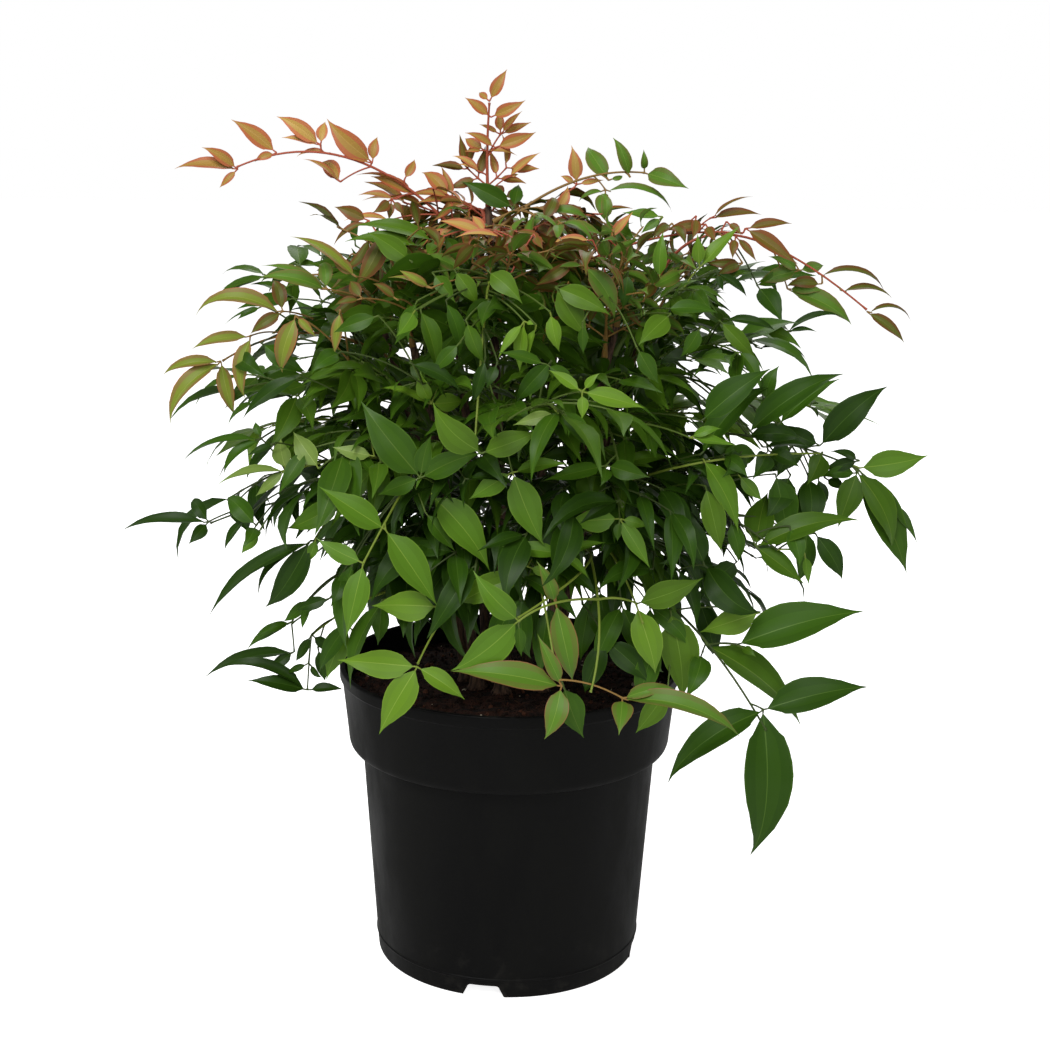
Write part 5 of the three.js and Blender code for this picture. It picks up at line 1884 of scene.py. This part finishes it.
@dataclass
class PatternBook:
    """Every leaflet pattern, a few for each habit."""

    each: int = 5
    seed: int = 5
    sweep: float = 0.35
    skew: float = 0.07
    waves: tuple[float, float] = (0.02, 0.07)
    patterns: list[LeafletPattern] = field(init=False)

    def __post_init__(self) -> None:
        """Draws the patterns, each from its habit's ranges of breadth, bend, fold and curl."""
        draw = SeededDraw(self.seed)
        ranges = {
            Habit.FLAT: ((0.35, 0.43), (0.3, 0.65), (0.14, 0.3), (0.02, 0.1)),
            Habit.ARCHED: ((0.31, 0.4), (0.8, 1.35), (0.22, 0.42), (0.04, 0.14)),
            Habit.CLAWED: ((0.28, 0.35), (1.35, 1.9), (0.34, 0.55), (0.05, 0.15)),
            Habit.YOUNG: ((0.3, 0.38), (0.5, 1.0), (0.35, 0.6), (0.02, 0.1)),
        }
        self.patterns = []
        for fine in (False, True):
            for habit, (ratios, bends, folds, curls) in ranges.items():
                for _ in range(self.each):
                    self.patterns.append(LeafletPattern(
                        habit, len(self.patterns), draw.between(*ratios), draw.between(*bends),
                        draw.between(-self.sweep, self.sweep), draw.between(*folds), draw.between(*curls),
                        draw.between(*self.waves), draw.between(-self.skew, self.skew), fine=fine))

    def pick(self, tint: Tint, draw: SeededDraw, fine: bool = False) -> LeafletPattern:
        """One pattern of a habit that the tint's leaflets have."""
        habit = HABITS[tint][draw.pick(len(HABITS[tint]))]
        return [p for p in self.patterns if p.habit == habit and p.fine == fine][draw.pick(self.each)]

    def collection(self) -> bpy.types.Collection:
        """The patterns as objects, in the order of their numbers.

        Returns:
            The collection.
        """
        book = bpy.data.collections.new("leaflet_patterns")
        bpy.context.scene.collection.children.link(book)
        for pattern in self.patterns:
            mesh = pattern.mesh()
            book.objects.link(bpy.data.objects.new(mesh.name, mesh))
        return book


@dataclass
class Leaflet:
    """A leaflet in its place."""

    seat: Vector
    ahead: Vector
    across: Vector
    face: Vector
    length: float
    breadth: float
    pattern: LeafletPattern
    tint: Tint
    tone: int

    def outline(self) -> list[Vector]:
        """The points of its outline for clearance tests."""
        return [
            self.seat + self.ahead * (p.x * self.length) + self.across * (p.y * self.length * self.breadth)
            + self.face * (p.z * self.length)
            for p in self.pattern.outline_points
        ]

    def turn(self) -> Vector:
        """Its rotation as three angles."""
        return Vector(Matrix((self.ahead, self.across, self.face)).transposed().to_euler())


@dataclass
class Run:
    """A stalk or twig: the points it follows and its radius at each."""

    points: list[Vector]
    radii: list[float]
    tint: Tint


class Clearings:
    """Finds out whether an outline touches anything that is there already."""

    def __init__(self, cell: float = 36.0, margin: float = 0.5) -> None:
        """Starts with nothing in the way.

        Args:
            cell: The size of the cells that the space is sorted into.
            margin: How near two outlines may come.
        """
        self.cell, self.margin = cell, margin
        self.cells: dict[tuple[int, int, int], list[tuple[int, BVHTree]]] = {}
        self.count = 0

    def around(self, points: Sequence[Vector]) -> list[tuple[int, int, int]]:
        """The cells that the box round some points reaches into.

        Args:
            points: The points.

        Returns:
            The cells' keys.
        """
        spans = []
        for axis in range(3):
            values = [p[axis] for p in points]
            spans.append(range(math.floor(min(values) / self.cell), math.floor(max(values) / self.cell) + 1))
        return [(x, y, z) for x in spans[0] for y in spans[1] for z in spans[2]]

    def tree(self, points: Sequence[Vector], faces: Sequence[Sequence[int]]) -> BVHTree:
        """A search tree over some faces."""
        return BVHTree.FromPolygons([tuple(p) for p in points], [tuple(f) for f in faces], epsilon=self.margin)

    def touches(self, points: Sequence[Vector], tree: BVHTree) -> bool:
        """Finds out whether an outline meets one that was added before.

        Args:
            points: The outline's points.
            tree: The search tree over its faces.

        Returns:
            True if it does.
        """
        seen: set[int] = set()
        for key in self.around(points):
            for number, other in self.cells.get(key, ()):
                if number not in seen:
                    seen.add(number)
                    if tree.overlap(other):
                        return True
        return False

    def add(self, points: Sequence[Vector], tree: BVHTree) -> None:
        """Keeps an outline, so that later ones stay clear of it.

        Args:
            points: Its points.
            tree: The search tree over its faces.
        """
        self.count += 1
        for key in self.around(points):
            self.cells.setdefault(key, []).append((self.count, tree))


# The greener tint that the inner leaflets of a leaf take where its end is set one by one.
INNER_TINTS = {Tint.BRONZE: Tint.FRESH, Tint.FRESH: Tint.GREEN, Tint.BRIGHT: Tint.GREEN}

@dataclass(frozen=True)
class Sprig:
    """What the leaflets at a joint share: their droop in degrees, tint, tone number and random numbers."""

    droop: float
    tint: Tint
    tone: int
    draw: SeededDraw


@dataclass
class Crown:
    """The compound leaves, grown along routed stalks and divided into pinnae, twigs and leaflets."""

    pot: NurseryPot
    clump: CaneClump
    book: PatternBook
    low: Vector
    high: Vector
    pinna_splay: float = 52
    pinna_length: float = 0.62
    pinna_droop: float = 0.4
    pair_place: float = 0.46
    pair_size: float = 0.68
    end_size: float = 0.92
    side_size: float = 0.76
    leaflet_splay: float = 52
    pair_splay: float = 58
    smallest: float = 0.86
    largest: float = 1.02
    turn_spread: float = 26
    sag_spread: float = 34
    twist_spread: float = 56
    chord_sag: float = 0.14
    breadths: tuple[float, float] = (0.92, 1.1)
    hangs: tuple[float, float] = (-80, 84)
    flattest: float = 0.3
    rule_droop: float = 0.95
    rule_tones: int = 2
    steepest: float = 0.8
    bronze_from: float = 500
    roll_spread: float = 36
    basal_chance: float = 0.6
    basal_size: float = 0.5
    basal_splay: float = 74
    small_from: float = 370
    small_to: float = 520
    small_size: float = 0.62
    hand_from: float = 0.5
    hand_depth: float = 60
    hand_turn: float = 12
    hand_steps: int = 20
    lane_steps: int = 8
    lane_step: float = 7
    longest_bright: float = 18
    onward_share: float = 0.3
    gap_reach: float = 240
    slant: float = 0.9
    twig_arch: float = 0.15
    twig_bow: float = 0.05
    twig_steps: int = 8
    long_steps: int = 16
    stalk_steps: int = 26
    long_swell: float = 1.4
    stem_length: float = 2.4
    stem_end: float = 1.5
    stem_taper: tuple[float, ...] = (1.15, 1, 0.7)
    stalk_radius: float = 1.15
    stalk_tip_radius: float = 0.62
    twig_radius: float = 0.62
    stem_radius: float = 0.5
    joint_swell: float = 0.5
    joint_reach: float = 1.4
    joint_marks: tuple[float, ...] = (-2.4, -1.1, 0, 1.1, 2.4)
    sheath_swell: float = 0.8
    sheath_reach: float = 7
    stalk_sides: int = 6
    moves: tuple[tuple[float, float, float], ...] = (
        (0, 0, 1), (12, 8, 1), (-12, -8, 1), (0, 20, 0.9), (20, -16, 0.8), (-24, 24, 0.72))
    stalks: StalkRule = field(default_factory=StalkRule)
    fill: FillRule = field(default_factory=FillRule)
    inner: FillRule = field(default_factory=lambda: FillRule(
        count=70, seed=19, first_azimuth=24, depths=(0.9, 0.56, 0.8, 0.68, 0.44), crowding=0.72,
        lowest_rise=-0.5, highest_rise=0.97, reach=205, leaflets=(56, 42), arches=(28, 12), name="inner",
        tints=((0.97, Tint.BRONZE), (0.86, Tint.FRESH), (0.5, Tint.GREEN), (0.42, Tint.BRIGHT), (-1, Tint.DARK))))
    leaflets: list[Leaflet] = field(default_factory=list)
    runs: list[Run] = field(default_factory=list)
    routed: list[tuple[LeafRow, Arc]] = field(default_factory=list)
    clearings: Clearings = field(default_factory=Clearings)

    def rows(self) -> list[LeafRow]:
        """Every leaf. The one that springs highest from each cane stands on its tip.

        Returns:
            The rows.
        """
        rows = [*FEATURE_LEAVES, *self.fill.rows()]
        for cane in self.clump.canes:
            highest = max((row for row in rows if row.cane == cane.number), key=lambda row: row.at)
            rows[rows.index(highest)] = highest.at_tip()
        return rows + self.inner.rows()

    def route(self) -> None:
        """Finds every stalk's line."""
        taken: list[tuple[Vector, Vector]] = []
        for row in self.rows():
            line = self.stalks.route(row, self.clump.canes, taken, self.pot)
            if line:
                taken += line.stretches(self.stalks.segments)
                self.routed.append((row, line))

    def block(self, line: Arc, radius: float, segments: int = 8) -> None:
        """Keeps leaflets off a limb.

        Args:
            line: The limb's line.
            radius: Its radius.
            segments: How many straight stretches stand for it.
        """
        for start, end in line.stretches(segments):
            ahead = (end - start).normalized()
            side = ahead.orthogonal().normalized()
            points = [
                spot + turned(side, ahead, 120 * i) * radius for spot in (start, end) for i in range(3)]
            faces = [(i, (i + 1) % 3, 3 + (i + 1) % 3, 3 + i) for i in range(3)]
            self.clearings.add(points, self.clearings.tree(points, faces))

    def frame_at(self, row: LeafRow, line: Arc, tangent: Vector) -> tuple[Vector, Vector]:
        """The directions across a leaf and square to it where its stalk has a tangent.

        Args:
            row: The leaf.
            line: Its stalk.
            tangent: The stalk's direction there.

        Returns:
            The direction across, and the one square to the leaf.
        """
        level = Vector((tangent.x, tangent.y, 0))
        if row.facing is not None:
            out = heading(row.facing)
        elif level.length < self.flattest:
            out = Vector((line.end.x - line.start.x, line.end.y - line.start.y, 0)).normalized()
        else:
            out = level.normalized()
        flat = out.cross(UP)
        across = turned((flat - tangent * flat.dot(tangent)).normalized(), tangent, row.roll)
        return across, across.cross(tangent).normalized()

    def add_leaflet(
        self, seat: Vector, direction: Vector, normal: Vector, length: float, sprig: Sprig
    ) -> None:
        """Sets a leaflet on its stem where it clears its neighbours, or leaves it out.

        Args:
            seat: Where its stem starts.
            direction: Where it heads.
            normal: The direction square to its leaf.
            length: Its length.
            sprig: What it shares with its neighbours.
        """
        draw = sprig.draw
        turn = self.turn_spread * (draw() - 0.5)
        sag = self.sag_spread * (draw() - 0.5)
        twist = self.twist_spread * (draw() - 0.5)
        pattern = self.book.pick(sprig.tint, draw)
        breadth = draw.between(*self.breadths)
        hang = sprig.droop + sag + math.degrees(pattern.bend) * self.chord_sag
        for swing, bow, size in self.moves:
            ahead = drooped(turned(direction, normal, turn + swing), clamp(hang + bow, *self.hangs))
            if ahead.z < -self.steepest:
                flat = Vector((ahead.x, ahead.y, 0)).normalized()
                ahead = flat * math.sqrt(1 - self.steepest**2) - UP * self.steepest
            level = ahead.cross(normal).normalized()
            right = turned(level, ahead, twist)
            face = right.cross(ahead).normalized()
            across = face.cross(ahead).normalized()
            base = seat + direction * self.stem_length
            made = Leaflet(
                base, ahead, across, face, length * size, breadth, pattern, sprig.tint, sprig.tone)
            outline = made.outline()
            if any(self.pot.holds(p) for p in outline) or not all(self.inside(p) for p in outline):
                continue
            tree = self.clearings.tree(outline, OUTLINE_FACES)
            if not self.clearings.touches(outline, tree):
                self.clearings.add(outline, tree)
                self.keep_leaflet(seat, made)
                return

    def inside(self, point: Vector) -> bool:
        """True if a point lies in the crown's own box."""
        return all(self.low[axis] <= point[axis] <= self.high[axis] for axis in range(3))

    def add_pinna(
        self, row: LeafRow, joint: Vector, lead: Vector, normal: Vector, size: float, sprig: Sprig
    ) -> None:
        """Grows a pinna: a twig with a pair of leaflets on its way and three at its end.

        Args:
            row: The leaf.
            joint: Where the pinna springs from the stalk.
            lead: Its first direction.
            normal: The direction square to the leaf.
            size: The length of its leaflets.
            sprig: What they share.
        """
        length = self.pinna_length * row.leaflet
        end = joint + drooped(lead, sprig.droop * self.pinna_droop) * length
        if self.pot.holds(end):
            return
        twig = Arc(joint, joint + lead * (length * 0.5) + normal * (length * self.twig_bow), end)
        before = len(self.leaflets)
        ahead = twig.tangent(1)
        self.add_leaflet(end, ahead, normal, self.end_size * size, sprig)
        for side in (-1, 1):
            aside = turned(ahead, normal, side * self.leaflet_splay)
            self.add_leaflet(end, aside, normal, self.side_size * size, sprig)
        middle, along = twig.point(self.pair_place), twig.tangent(self.pair_place)
        for side in (-1, 1):
            aside = turned(along, normal, side * self.pair_splay)
            self.add_leaflet(middle, aside, normal, self.pair_size * size, sprig)
        if len(self.leaflets) > before:
            joints = [self.pair_place, 1.0]
            self.add_run(twig, self.twig_radius, self.stem_radius, joints, sprig.tint, self.twig_steps)

    def add_run(
        self, line: Arc, start_radius: float, end_radius: float, joints: Sequence[float], tint: Tint, steps: int,
        sheath: float = 0.0,
    ) -> None:
        """Keeps a stalk's run, swollen at its joints and at its foot.

        Args:
            line: The run's line.
            start_radius: Its radius at its foot.
            end_radius: Its radius at its end.
            joints: The parts of the line where leaflets or pinnae spring.
            tint: Its tint.
            steps: How many steps it is made in.
            sheath: How much wider its foot is, as it clasps the cane.
        """
        length = line.length(20)
        parts = {i / steps for i in range(steps + 1)}
        for joint in joints:
            parts |= {clamp(joint + mark / length, 0, 1) for mark in self.joint_marks}
        points, radii = [], []
        for part in sorted(parts):
            swell = max(math.exp(-(((part - joint) * length / self.joint_reach) ** 2)) for joint in joints)
            foot = sheath * math.exp(-((part * length / self.sheath_reach) ** 2))
            points.append(line.point(part))
            radii.append(mix(start_radius, end_radius, part) * (1 + self.joint_swell * swell + foot))
        self.runs.append(Run(points, radii, tint))

    def grow_leaf(self, row: LeafRow, line: Arc, seed: int) -> None:
        """Grows one compound leaf on its stalk.

        Args:
            row: The leaf.
            line: Its stalk.
            seed: The seed of its random numbers.
        """
        draw = SeededDraw(seed)
        tip = line.tangent(1)
        _, normal = self.frame_at(row, line, tip)
        placed = any(row.name == known.name for known in FEATURE_LEAVES)
        own, sink = (1.0, 1.0) if placed else (self.size_at(line.end.z), self.rule_droop)
        droop = (row.droop if row.end_droop is None else row.end_droop) * sink
        by_hand = placed and line.end.y < self.hand_depth
        tint = INNER_TINTS.get(row.tint, row.tint) if by_hand and row.height < self.bronze_from else row.tint
        tone = draw.pick(self.rule_tones)
        if not by_hand:
            sprig = Sprig(droop, tint, tone, draw)
            self.add_leaflet(line.end - tip, tip, normal, row.leaflet * own, sprig)
        joints = []
        for pair, leaflets in enumerate(row.pinnae):
            part = mix(row.bare, 1, math.sin(pair / len(row.pinnae) * math.pi / 2))
            if by_hand and part > self.hand_from:
                continue
            joints.append(part)
            tangent, joint = line.tangent(part), line.point(part)
            across, flat_normal = self.frame_at(row, line, tangent)
            for side in (-1, 1):
                normal = turned(flat_normal, tangent, self.roll_spread * (draw() - 0.5))
                size = own * row.leaflet * draw.between(self.smallest, self.largest)
                splay = math.radians(self.pinna_splay if leaflets > 1 else self.leaflet_splay)
                lead = tangent * math.cos(splay) + across * (side * math.sin(splay))
                sprig = Sprig(row.droop * sink, tint, draw.pick(self.rule_tones), draw)
                if leaflets > 1:
                    self.add_pinna(row, joint, lead, normal, size, sprig)
                    continue
                self.add_leaflet(joint, lead, normal, size, sprig)
                if draw() < self.basal_chance:
                    aside = turned(tangent, normal, -side * self.basal_splay)
                    self.add_leaflet(joint, aside, normal, size * self.basal_size, sprig)
        self.add_run(
            line, self.stalk_radius, self.stalk_tip_radius, [*joints, 1.0], row.tint, self.stalk_steps,
            self.sheath_swell)

    def set_leaflet(
        self, joint: Vector, tip: Vector, shown: float, tint: Tint, tone: int, draw: SeededDraw
    ) -> None:
        """Sets a leaflet by its joint and its tip, and keeps the space before it free.

        Args:
            joint: Where its stem starts.
            tip: Where its point ends.
            shown: How broad it shows from the front, as a share of its length.
            tint: Its tint.
            tone: The number of its tone.
            draw: Random numbers.
        """
        ahead = (tip - joint).normalized()
        base = joint + ahead * self.stem_length
        pattern = self.book.pick(tint, draw, True)
        breadth = max(shown, math.sqrt(pattern.ratio * min(shown, pattern.ratio)))
        faced = min(1.0, shown / breadth)
        front = (FRONT - ahead * FRONT.dot(ahead)).normalized()
        aside = ahead.cross(front)
        face = front * faced + aside * math.copysign(math.sqrt(1 - faced * faced), aside.z)
        face = turned(face, ahead, draw.between(-self.hand_turn, self.hand_turn))
        made = Leaflet(
            base, ahead, face.cross(ahead), face, (tip - base).length, breadth / pattern.ratio, pattern, tint, tone)
        outline = made.outline()
        for step in range(self.lane_steps):
            shifted = [p + FRONT * (step * self.lane_step) for p in outline]
            self.clearings.add(shifted, self.clearings.tree(shifted, OUTLINE_FACES))
        self.keep_leaflet(joint, made)

    def keep_leaflet(self, joint: Vector, made: Leaflet) -> None:
        """Keeps a leaflet and its short stem.

        Args:
            joint: Where the stem starts.
            made: The leaflet.
        """
        self.leaflets.append(made)
        points = [joint, made.seat, made.seat + made.ahead * self.stem_end]
        self.runs.append(Run(points, [self.stem_radius * share for share in self.stem_taper], made.tint))

    def set_long_stalks(self) -> None:
        """Sets the stalks that have a course of their own, and keeps the space before them free."""
        for numbers in LONG_STALKS:
            course = [Vector(numbers[i : i + 3]) for i in (0, 3, 6)]
            self.add_run(
                Arc(*course), self.stalk_tip_radius * self.long_swell, self.twig_radius, [0.0, 1.0], Tint.BRIGHT,
                self.long_steps)
            for step in range(self.lane_steps):
                shift = FRONT * (step * self.lane_step)
                self.block(Arc(*(spot + shift for spot in course)), self.stalk_radius)

    def set_sprays(self) -> None:
        """Sets the leaflets that have a place of their own, on twigs from the nearest stalk."""
        parts = [i / self.hand_steps for i in range(self.hand_steps + 1)]
        spots = [(line.point(part), line, part) for _, line in self.routed for part in parts]
        draw = SeededDraw(len(SPRAYS))
        for tint, sprays in SPRAYS.items():
            for numbers in sprays:
                joint, tone = Vector(numbers[:3]), numbers[3]
                spot, line, part = min(spots, key=lambda found: (found[0] - joint).length)
                gap = (spot - joint).length
                if gap > self.stem_length:
                    onward = part == 1 and (joint - spot).dot(line.tangent(1)) > self.onward_share * gap
                    foot = spot if onward else line.point(max(0.0, part - self.slant * gap / line.length(20)))
                    twig = Arc(foot, foot.lerp(joint, 0.5) + UP * (self.twig_arch * gap), joint)
                    hidden = tint == Tint.BRIGHT and gap > self.longest_bright
                    shade = Tint.GREEN if hidden else tint
                    self.add_run(twig, self.twig_radius, self.stem_radius, [1.0], shade, self.twig_steps)
                for i in range(4, len(numbers), 4):
                    tip = joint + Vector(numbers[i : i + 3])
                    self.set_leaflet(joint, tip, numbers[i + 3] / 100, tint, tone, draw)

    def open_gaps(self) -> None:
        """Keeps the leaflets that are still to come out of the openings."""
        for across, height, radius in GAPS:
            centre = Vector((across, 0, height))
            reach = (centre - EYE).normalized() * self.gap_reach
            self.block(Arc(centre - reach, centre, centre + reach), radius)

    def size_at(self, height: float) -> float:
        """How much smaller the leaflets are towards the top of the crown."""
        return mix(1, self.small_size, clamp((height - self.small_from) / (self.small_to - self.small_from), 0, 1))

    def grow(self) -> None:
        """Grows every leaf, the ones with a place of their own first."""
        self.route()
        for cane in self.clump.canes:
            self.block(cane.line, cane.foot_radius, cane.rings)
        for _, line in self.routed:
            self.block(line, self.stalk_radius)
        self.set_long_stalks()
        self.set_sprays()
        self.open_gaps()
        for number, (row, line) in enumerate(self.routed):
            self.grow_leaf(row, line, number + 1)
        log.info("crown: %d stalks, %d leaflets, %d runs", len(self.routed), len(self.leaflets), len(self.runs))

    def leaf_recipe(self, tint: Tint) -> Recipe:
        """The tree that sets leaflets on points.

        Args:
            tint: The tint whose materials it deals out.

        Returns:
            The recipe.
        """
        recipe = Recipe(f"set_leaflets_{tint.value}", {
            "Patterns": ("NodeSocketCollection", None), "Size": (NUMBER, 1.0)})
        bench, given = recipe.bench, recipe.given
        patterns = bench.out("GeometryNodeCollectionInfo", {
            "Collection": given["Patterns"], "Separate Children": True, "Reset Children": True})
        placed = bench.out("GeometryNodeInstanceOnPoints", {
            "Points": given["Geometry"], "Instance": patterns, "Pick Instance": True,
            "Instance Index": bench.attribute("pattern", "INT"),
            "Rotation": bench.out("FunctionNodeEulerToRotation", {0: bench.attribute("turn", "FLOAT_VECTOR")}),
            "Scale": bench.scaled(bench.attribute("span", "FLOAT_VECTOR"), given["Size"])})
        recipe.finish(realize(bench, placed, LEAF_FINISHES[tint].dealt()))
        return recipe

    def stalk_recipe(self) -> Recipe:
        """The tree that gives runs their thickness.

        Returns:
            The recipe.
        """
        recipe = Recipe("thicken_stalks", {
            "Sides": ("NodeSocketInt", self.stalk_sides), "Girth": (NUMBER, 1.0),
            "Finish": ("NodeSocketMaterial", None)})
        bench, given = recipe.bench, recipe.given
        radius = bench.math("MULTIPLY", bench.attribute("thickness", "FLOAT"), given["Girth"])
        curves = bench.out("GeometryNodeMeshToCurve", {0: given["Geometry"]})
        sized = bench.out("GeometryNodeSetCurveRadius", {"Curve": curves, "Radius": radius})
        ring = bench.out("GeometryNodeCurvePrimitiveCircle", {"Resolution": given["Sides"], "Radius": 1.0})
        tube = bench.out("GeometryNodeCurveToMesh", {
            "Curve": sized, "Profile Curve": ring, "Scale": radius, "Fill Caps": True})
        whole = bench.out("GeometryNodeRealizeInstances", {0: tube})
        soft = bench.out("GeometryNodeSetShadeSmooth", {"Geometry": whole})
        recipe.finish(bench.out("GeometryNodeSetMaterial", {"Geometry": soft, "Material": given["Finish"]}))
        return recipe

    def make_piece(self, mesh: Mesh, tint: Tint, recipe: Recipe, values: dict[str, object]) -> Object:
        """Cooks a mesh of points or edges into a piece, in place of the plain leaves of its tint.

        Args:
            mesh: The mesh.
            tint: The tint.
            recipe: The tree that it is cooked by.
            values: The tree's inputs.

        Returns:
            The piece.
        """
        piece = object_of(mesh)
        recipe.cook(piece, values)
        for name in ("turn", "span", "pattern", "tone", "zone", "thickness"):
            spent = piece.data.attributes.get(name)
            if spent:
                piece.data.attributes.remove(spent)
        nodes = [f"leaf_{row.name}" for row, _ in self.routed
                 if row.tint == tint and not row.name.startswith(self.inner.name)]
        return settle(piece, nodes)

    def leaf_piece(self, tint: Tint, patterns: bpy.types.Collection) -> Object:
        """Every leaflet of a tint as one piece.

        Args:
            tint: The tint.
            patterns: The leaflet patterns.

        Returns:
            The piece.
        """
        mine = [leaflet for leaflet in self.leaflets if leaflet.tint == tint]
        mesh = mesh_of(f"leaflets_{tint.value}", [leaflet.seat for leaflet in mine], [])
        values = {
            "turn": ("FLOAT_VECTOR", "vector", [v for leaflet in mine for v in leaflet.turn()]),
            "span": ("FLOAT_VECTOR", "vector", [
                v * MM for leaflet in mine
                for v in (leaflet.length, leaflet.length * leaflet.breadth, leaflet.length)]),
            "pattern": ("INT", "value", [leaflet.pattern.number for leaflet in mine]),
            "tone": ("INT", "value", [leaflet.tone for leaflet in mine]),
        }
        for name, (kind, key, numbers) in values.items():
            mesh.attributes.new(name, kind, "POINT").data.foreach_set(key, numbers)
        return self.make_piece(mesh, tint, self.leaf_recipe(tint), {"Patterns": patterns})

    def stalk_piece(self, tint: Tint, recipe: Recipe) -> Object:
        """Every stalk and twig of a tint as one piece.

        Args:
            tint: The tint.
            recipe: The tree that thickens runs.

        Returns:
            The piece.
        """
        mesh = bpy.data.meshes.new(f"stalks_{tint.value}")
        points, edges, radii = [], [], []
        for run in (run for run in self.runs if run.tint == tint):
            first = len(points)
            points += [tuple(p * MM) for p in run.points]
            radii += [r * MM for r in run.radii]
            edges += [(first + i, first + i + 1) for i in range(len(run.points) - 1)]
        mesh.from_pydata(points, edges, [])
        mesh.attributes.new("thickness", "FLOAT", "POINT").data.foreach_set("value", radii)
        return self.make_piece(mesh, tint, recipe, {"Finish": STALK_FINISHES[tint].material()})

    def dress(self) -> list[Object]:
        """Every leaf and stalk, in place of the plain leaf solids.

        Returns:
            The pieces.
        """
        patterns = self.book.collection()
        made = [self.leaf_piece(tint, patterns) for tint in Tint]
        recipe = self.stalk_recipe()
        made += [self.stalk_piece(tint, recipe) for tint in Tint]
        for helper in list(patterns.objects):
            bpy.data.objects.remove(helper)
        bpy.data.collections.remove(patterns)
        return made


# ---------------------------------------------------------------- studio


@dataclass(frozen=True)
class Lamp:
    """A soft area light that faces the plant."""

    name: str
    azimuth: float
    elevation: float
    distance: float
    size: float
    power: float

    def hang(self, target: Vector) -> None:
        """Puts the light in its place.

        Args:
            target: The point that it faces, in metres.
        """
        light = bpy.data.lights.new(self.name, "AREA")
        light.shape, light.size, light.energy = "DISK", self.size, self.power
        lamp = bpy.data.objects.new(self.name, light)
        level = math.cos(math.radians(self.elevation))
        back = heading(self.azimuth) * level + UP * math.sin(math.radians(self.elevation))
        lamp.location = target + back * self.distance
        lamp.rotation_euler = (-back).to_track_quat("-Z", "Y").to_euler()
        bpy.context.scene.collection.objects.link(lamp)


@dataclass
class Studio:
    """The pale floor, the soft lights and the camera."""

    pitch: float = -13.697
    roll: float = 0.76
    lens: float = 65.1
    sensor: float = 36
    floor_size: float = 14
    floor_colour: str = "#f4f4f3"
    floor_glow: float = 0.86
    sky_light: float = 0.2
    lamp_aim: float = 0.34
    lamps: tuple[Lamp, ...] = (
        Lamp("key_light", -118, 46, 2.2, 1.2, 32),
        Lamp("fill_light", -75, 22, 2.6, 1.5, 18),
        Lamp("back_light", 80, 44, 2.4, 1.6, 15),
        Lamp("left_light", 175, 28, 2.6, 1.5, 10),
        Lamp("right_light", 5, 28, 2.6, 1.5, 10),
    )

    def floor(self) -> None:
        """Lays the floor."""
        half = self.floor_size / 2 / MM
        corners = [Vector((x * half, y * half, 0)) for x, y in ((-1, -1), (1, -1), (1, 1), (-1, 1))]
        floor = object_of(mesh_of("studio_floor", corners, [(0, 1, 2, 3)]))
        paper, bench, shader = shader_of("floor_paper", Gloss(0.9, 0.2))
        seen = bench.add("ShaderNodeLightPath").outputs["Is Camera Ray"]
        bench.wire(shader, {
            "Base Color": linear(self.floor_colour), "Emission Color": (1, 1, 1, 1),
            "Emission Strength": bench.math("MULTIPLY", seen, self.floor_glow)})
        floor.data.materials.append(paper)
        floor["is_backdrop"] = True

    def sky(self) -> None:
        """Sets the white surround, which lights the plant softly from all sides."""
        world = bpy.data.worlds.new("studio_surround")
        bpy.context.scene.world = world
        world.use_nodes = True
        bench = Bench(world.node_tree)
        back = next(n for n in world.node_tree.nodes if n.type == "BACKGROUND")
        seen = bench.add("ShaderNodeLightPath").outputs["Is Camera Ray"]
        bench.wire(back, {"Color": (1, 1, 1, 1), "Strength": bench.spread(seen, self.sky_light, 1.0)})

    def camera(self) -> None:
        """Sets the camera."""
        data = bpy.data.cameras.new("camera")
        data.lens, data.sensor_width = self.lens, self.sensor
        camera = bpy.data.objects.new("camera", data)
        camera.location = EYE * MM
        tilt = Matrix.Rotation(math.radians(90 + self.pitch), 3, "X")
        camera.rotation_euler = (tilt @ Matrix.Rotation(math.radians(self.roll), 3, "Z")).to_euler()
        bpy.context.scene.collection.objects.link(camera)
        bpy.context.scene.camera = camera

    def set_up(self) -> None:
        """Lays the floor, hangs the lights and sets the camera."""
        self.floor()
        self.sky()
        for lamp in self.lamps:
            lamp.hang(UP * self.lamp_aim)
        self.camera()
        bpy.context.scene.view_settings.view_transform = "Standard"
        log.info("studio: %d lamps", len(self.lamps))


def main() -> None:
    """Builds and dresses the plant, its pot and the studio."""
    logging.basicConfig(level=logging.INFO, format="%(name)s: %(message)s")
    plain_low, plain_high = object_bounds()
    pot = NurseryPot()
    soil = PottingSoil(pot=pot)
    clump = CaneClump(soil.level)
    book = PatternBook()
    crown = Crown(pot, clump, book, plain_low / MM, plain_high / MM)
    crown.grow()
    pot.dress()
    soil.dress()
    clump.dress()
    crown.dress()
    Studio().set_up()


if __name__ == "__main__":
    main()
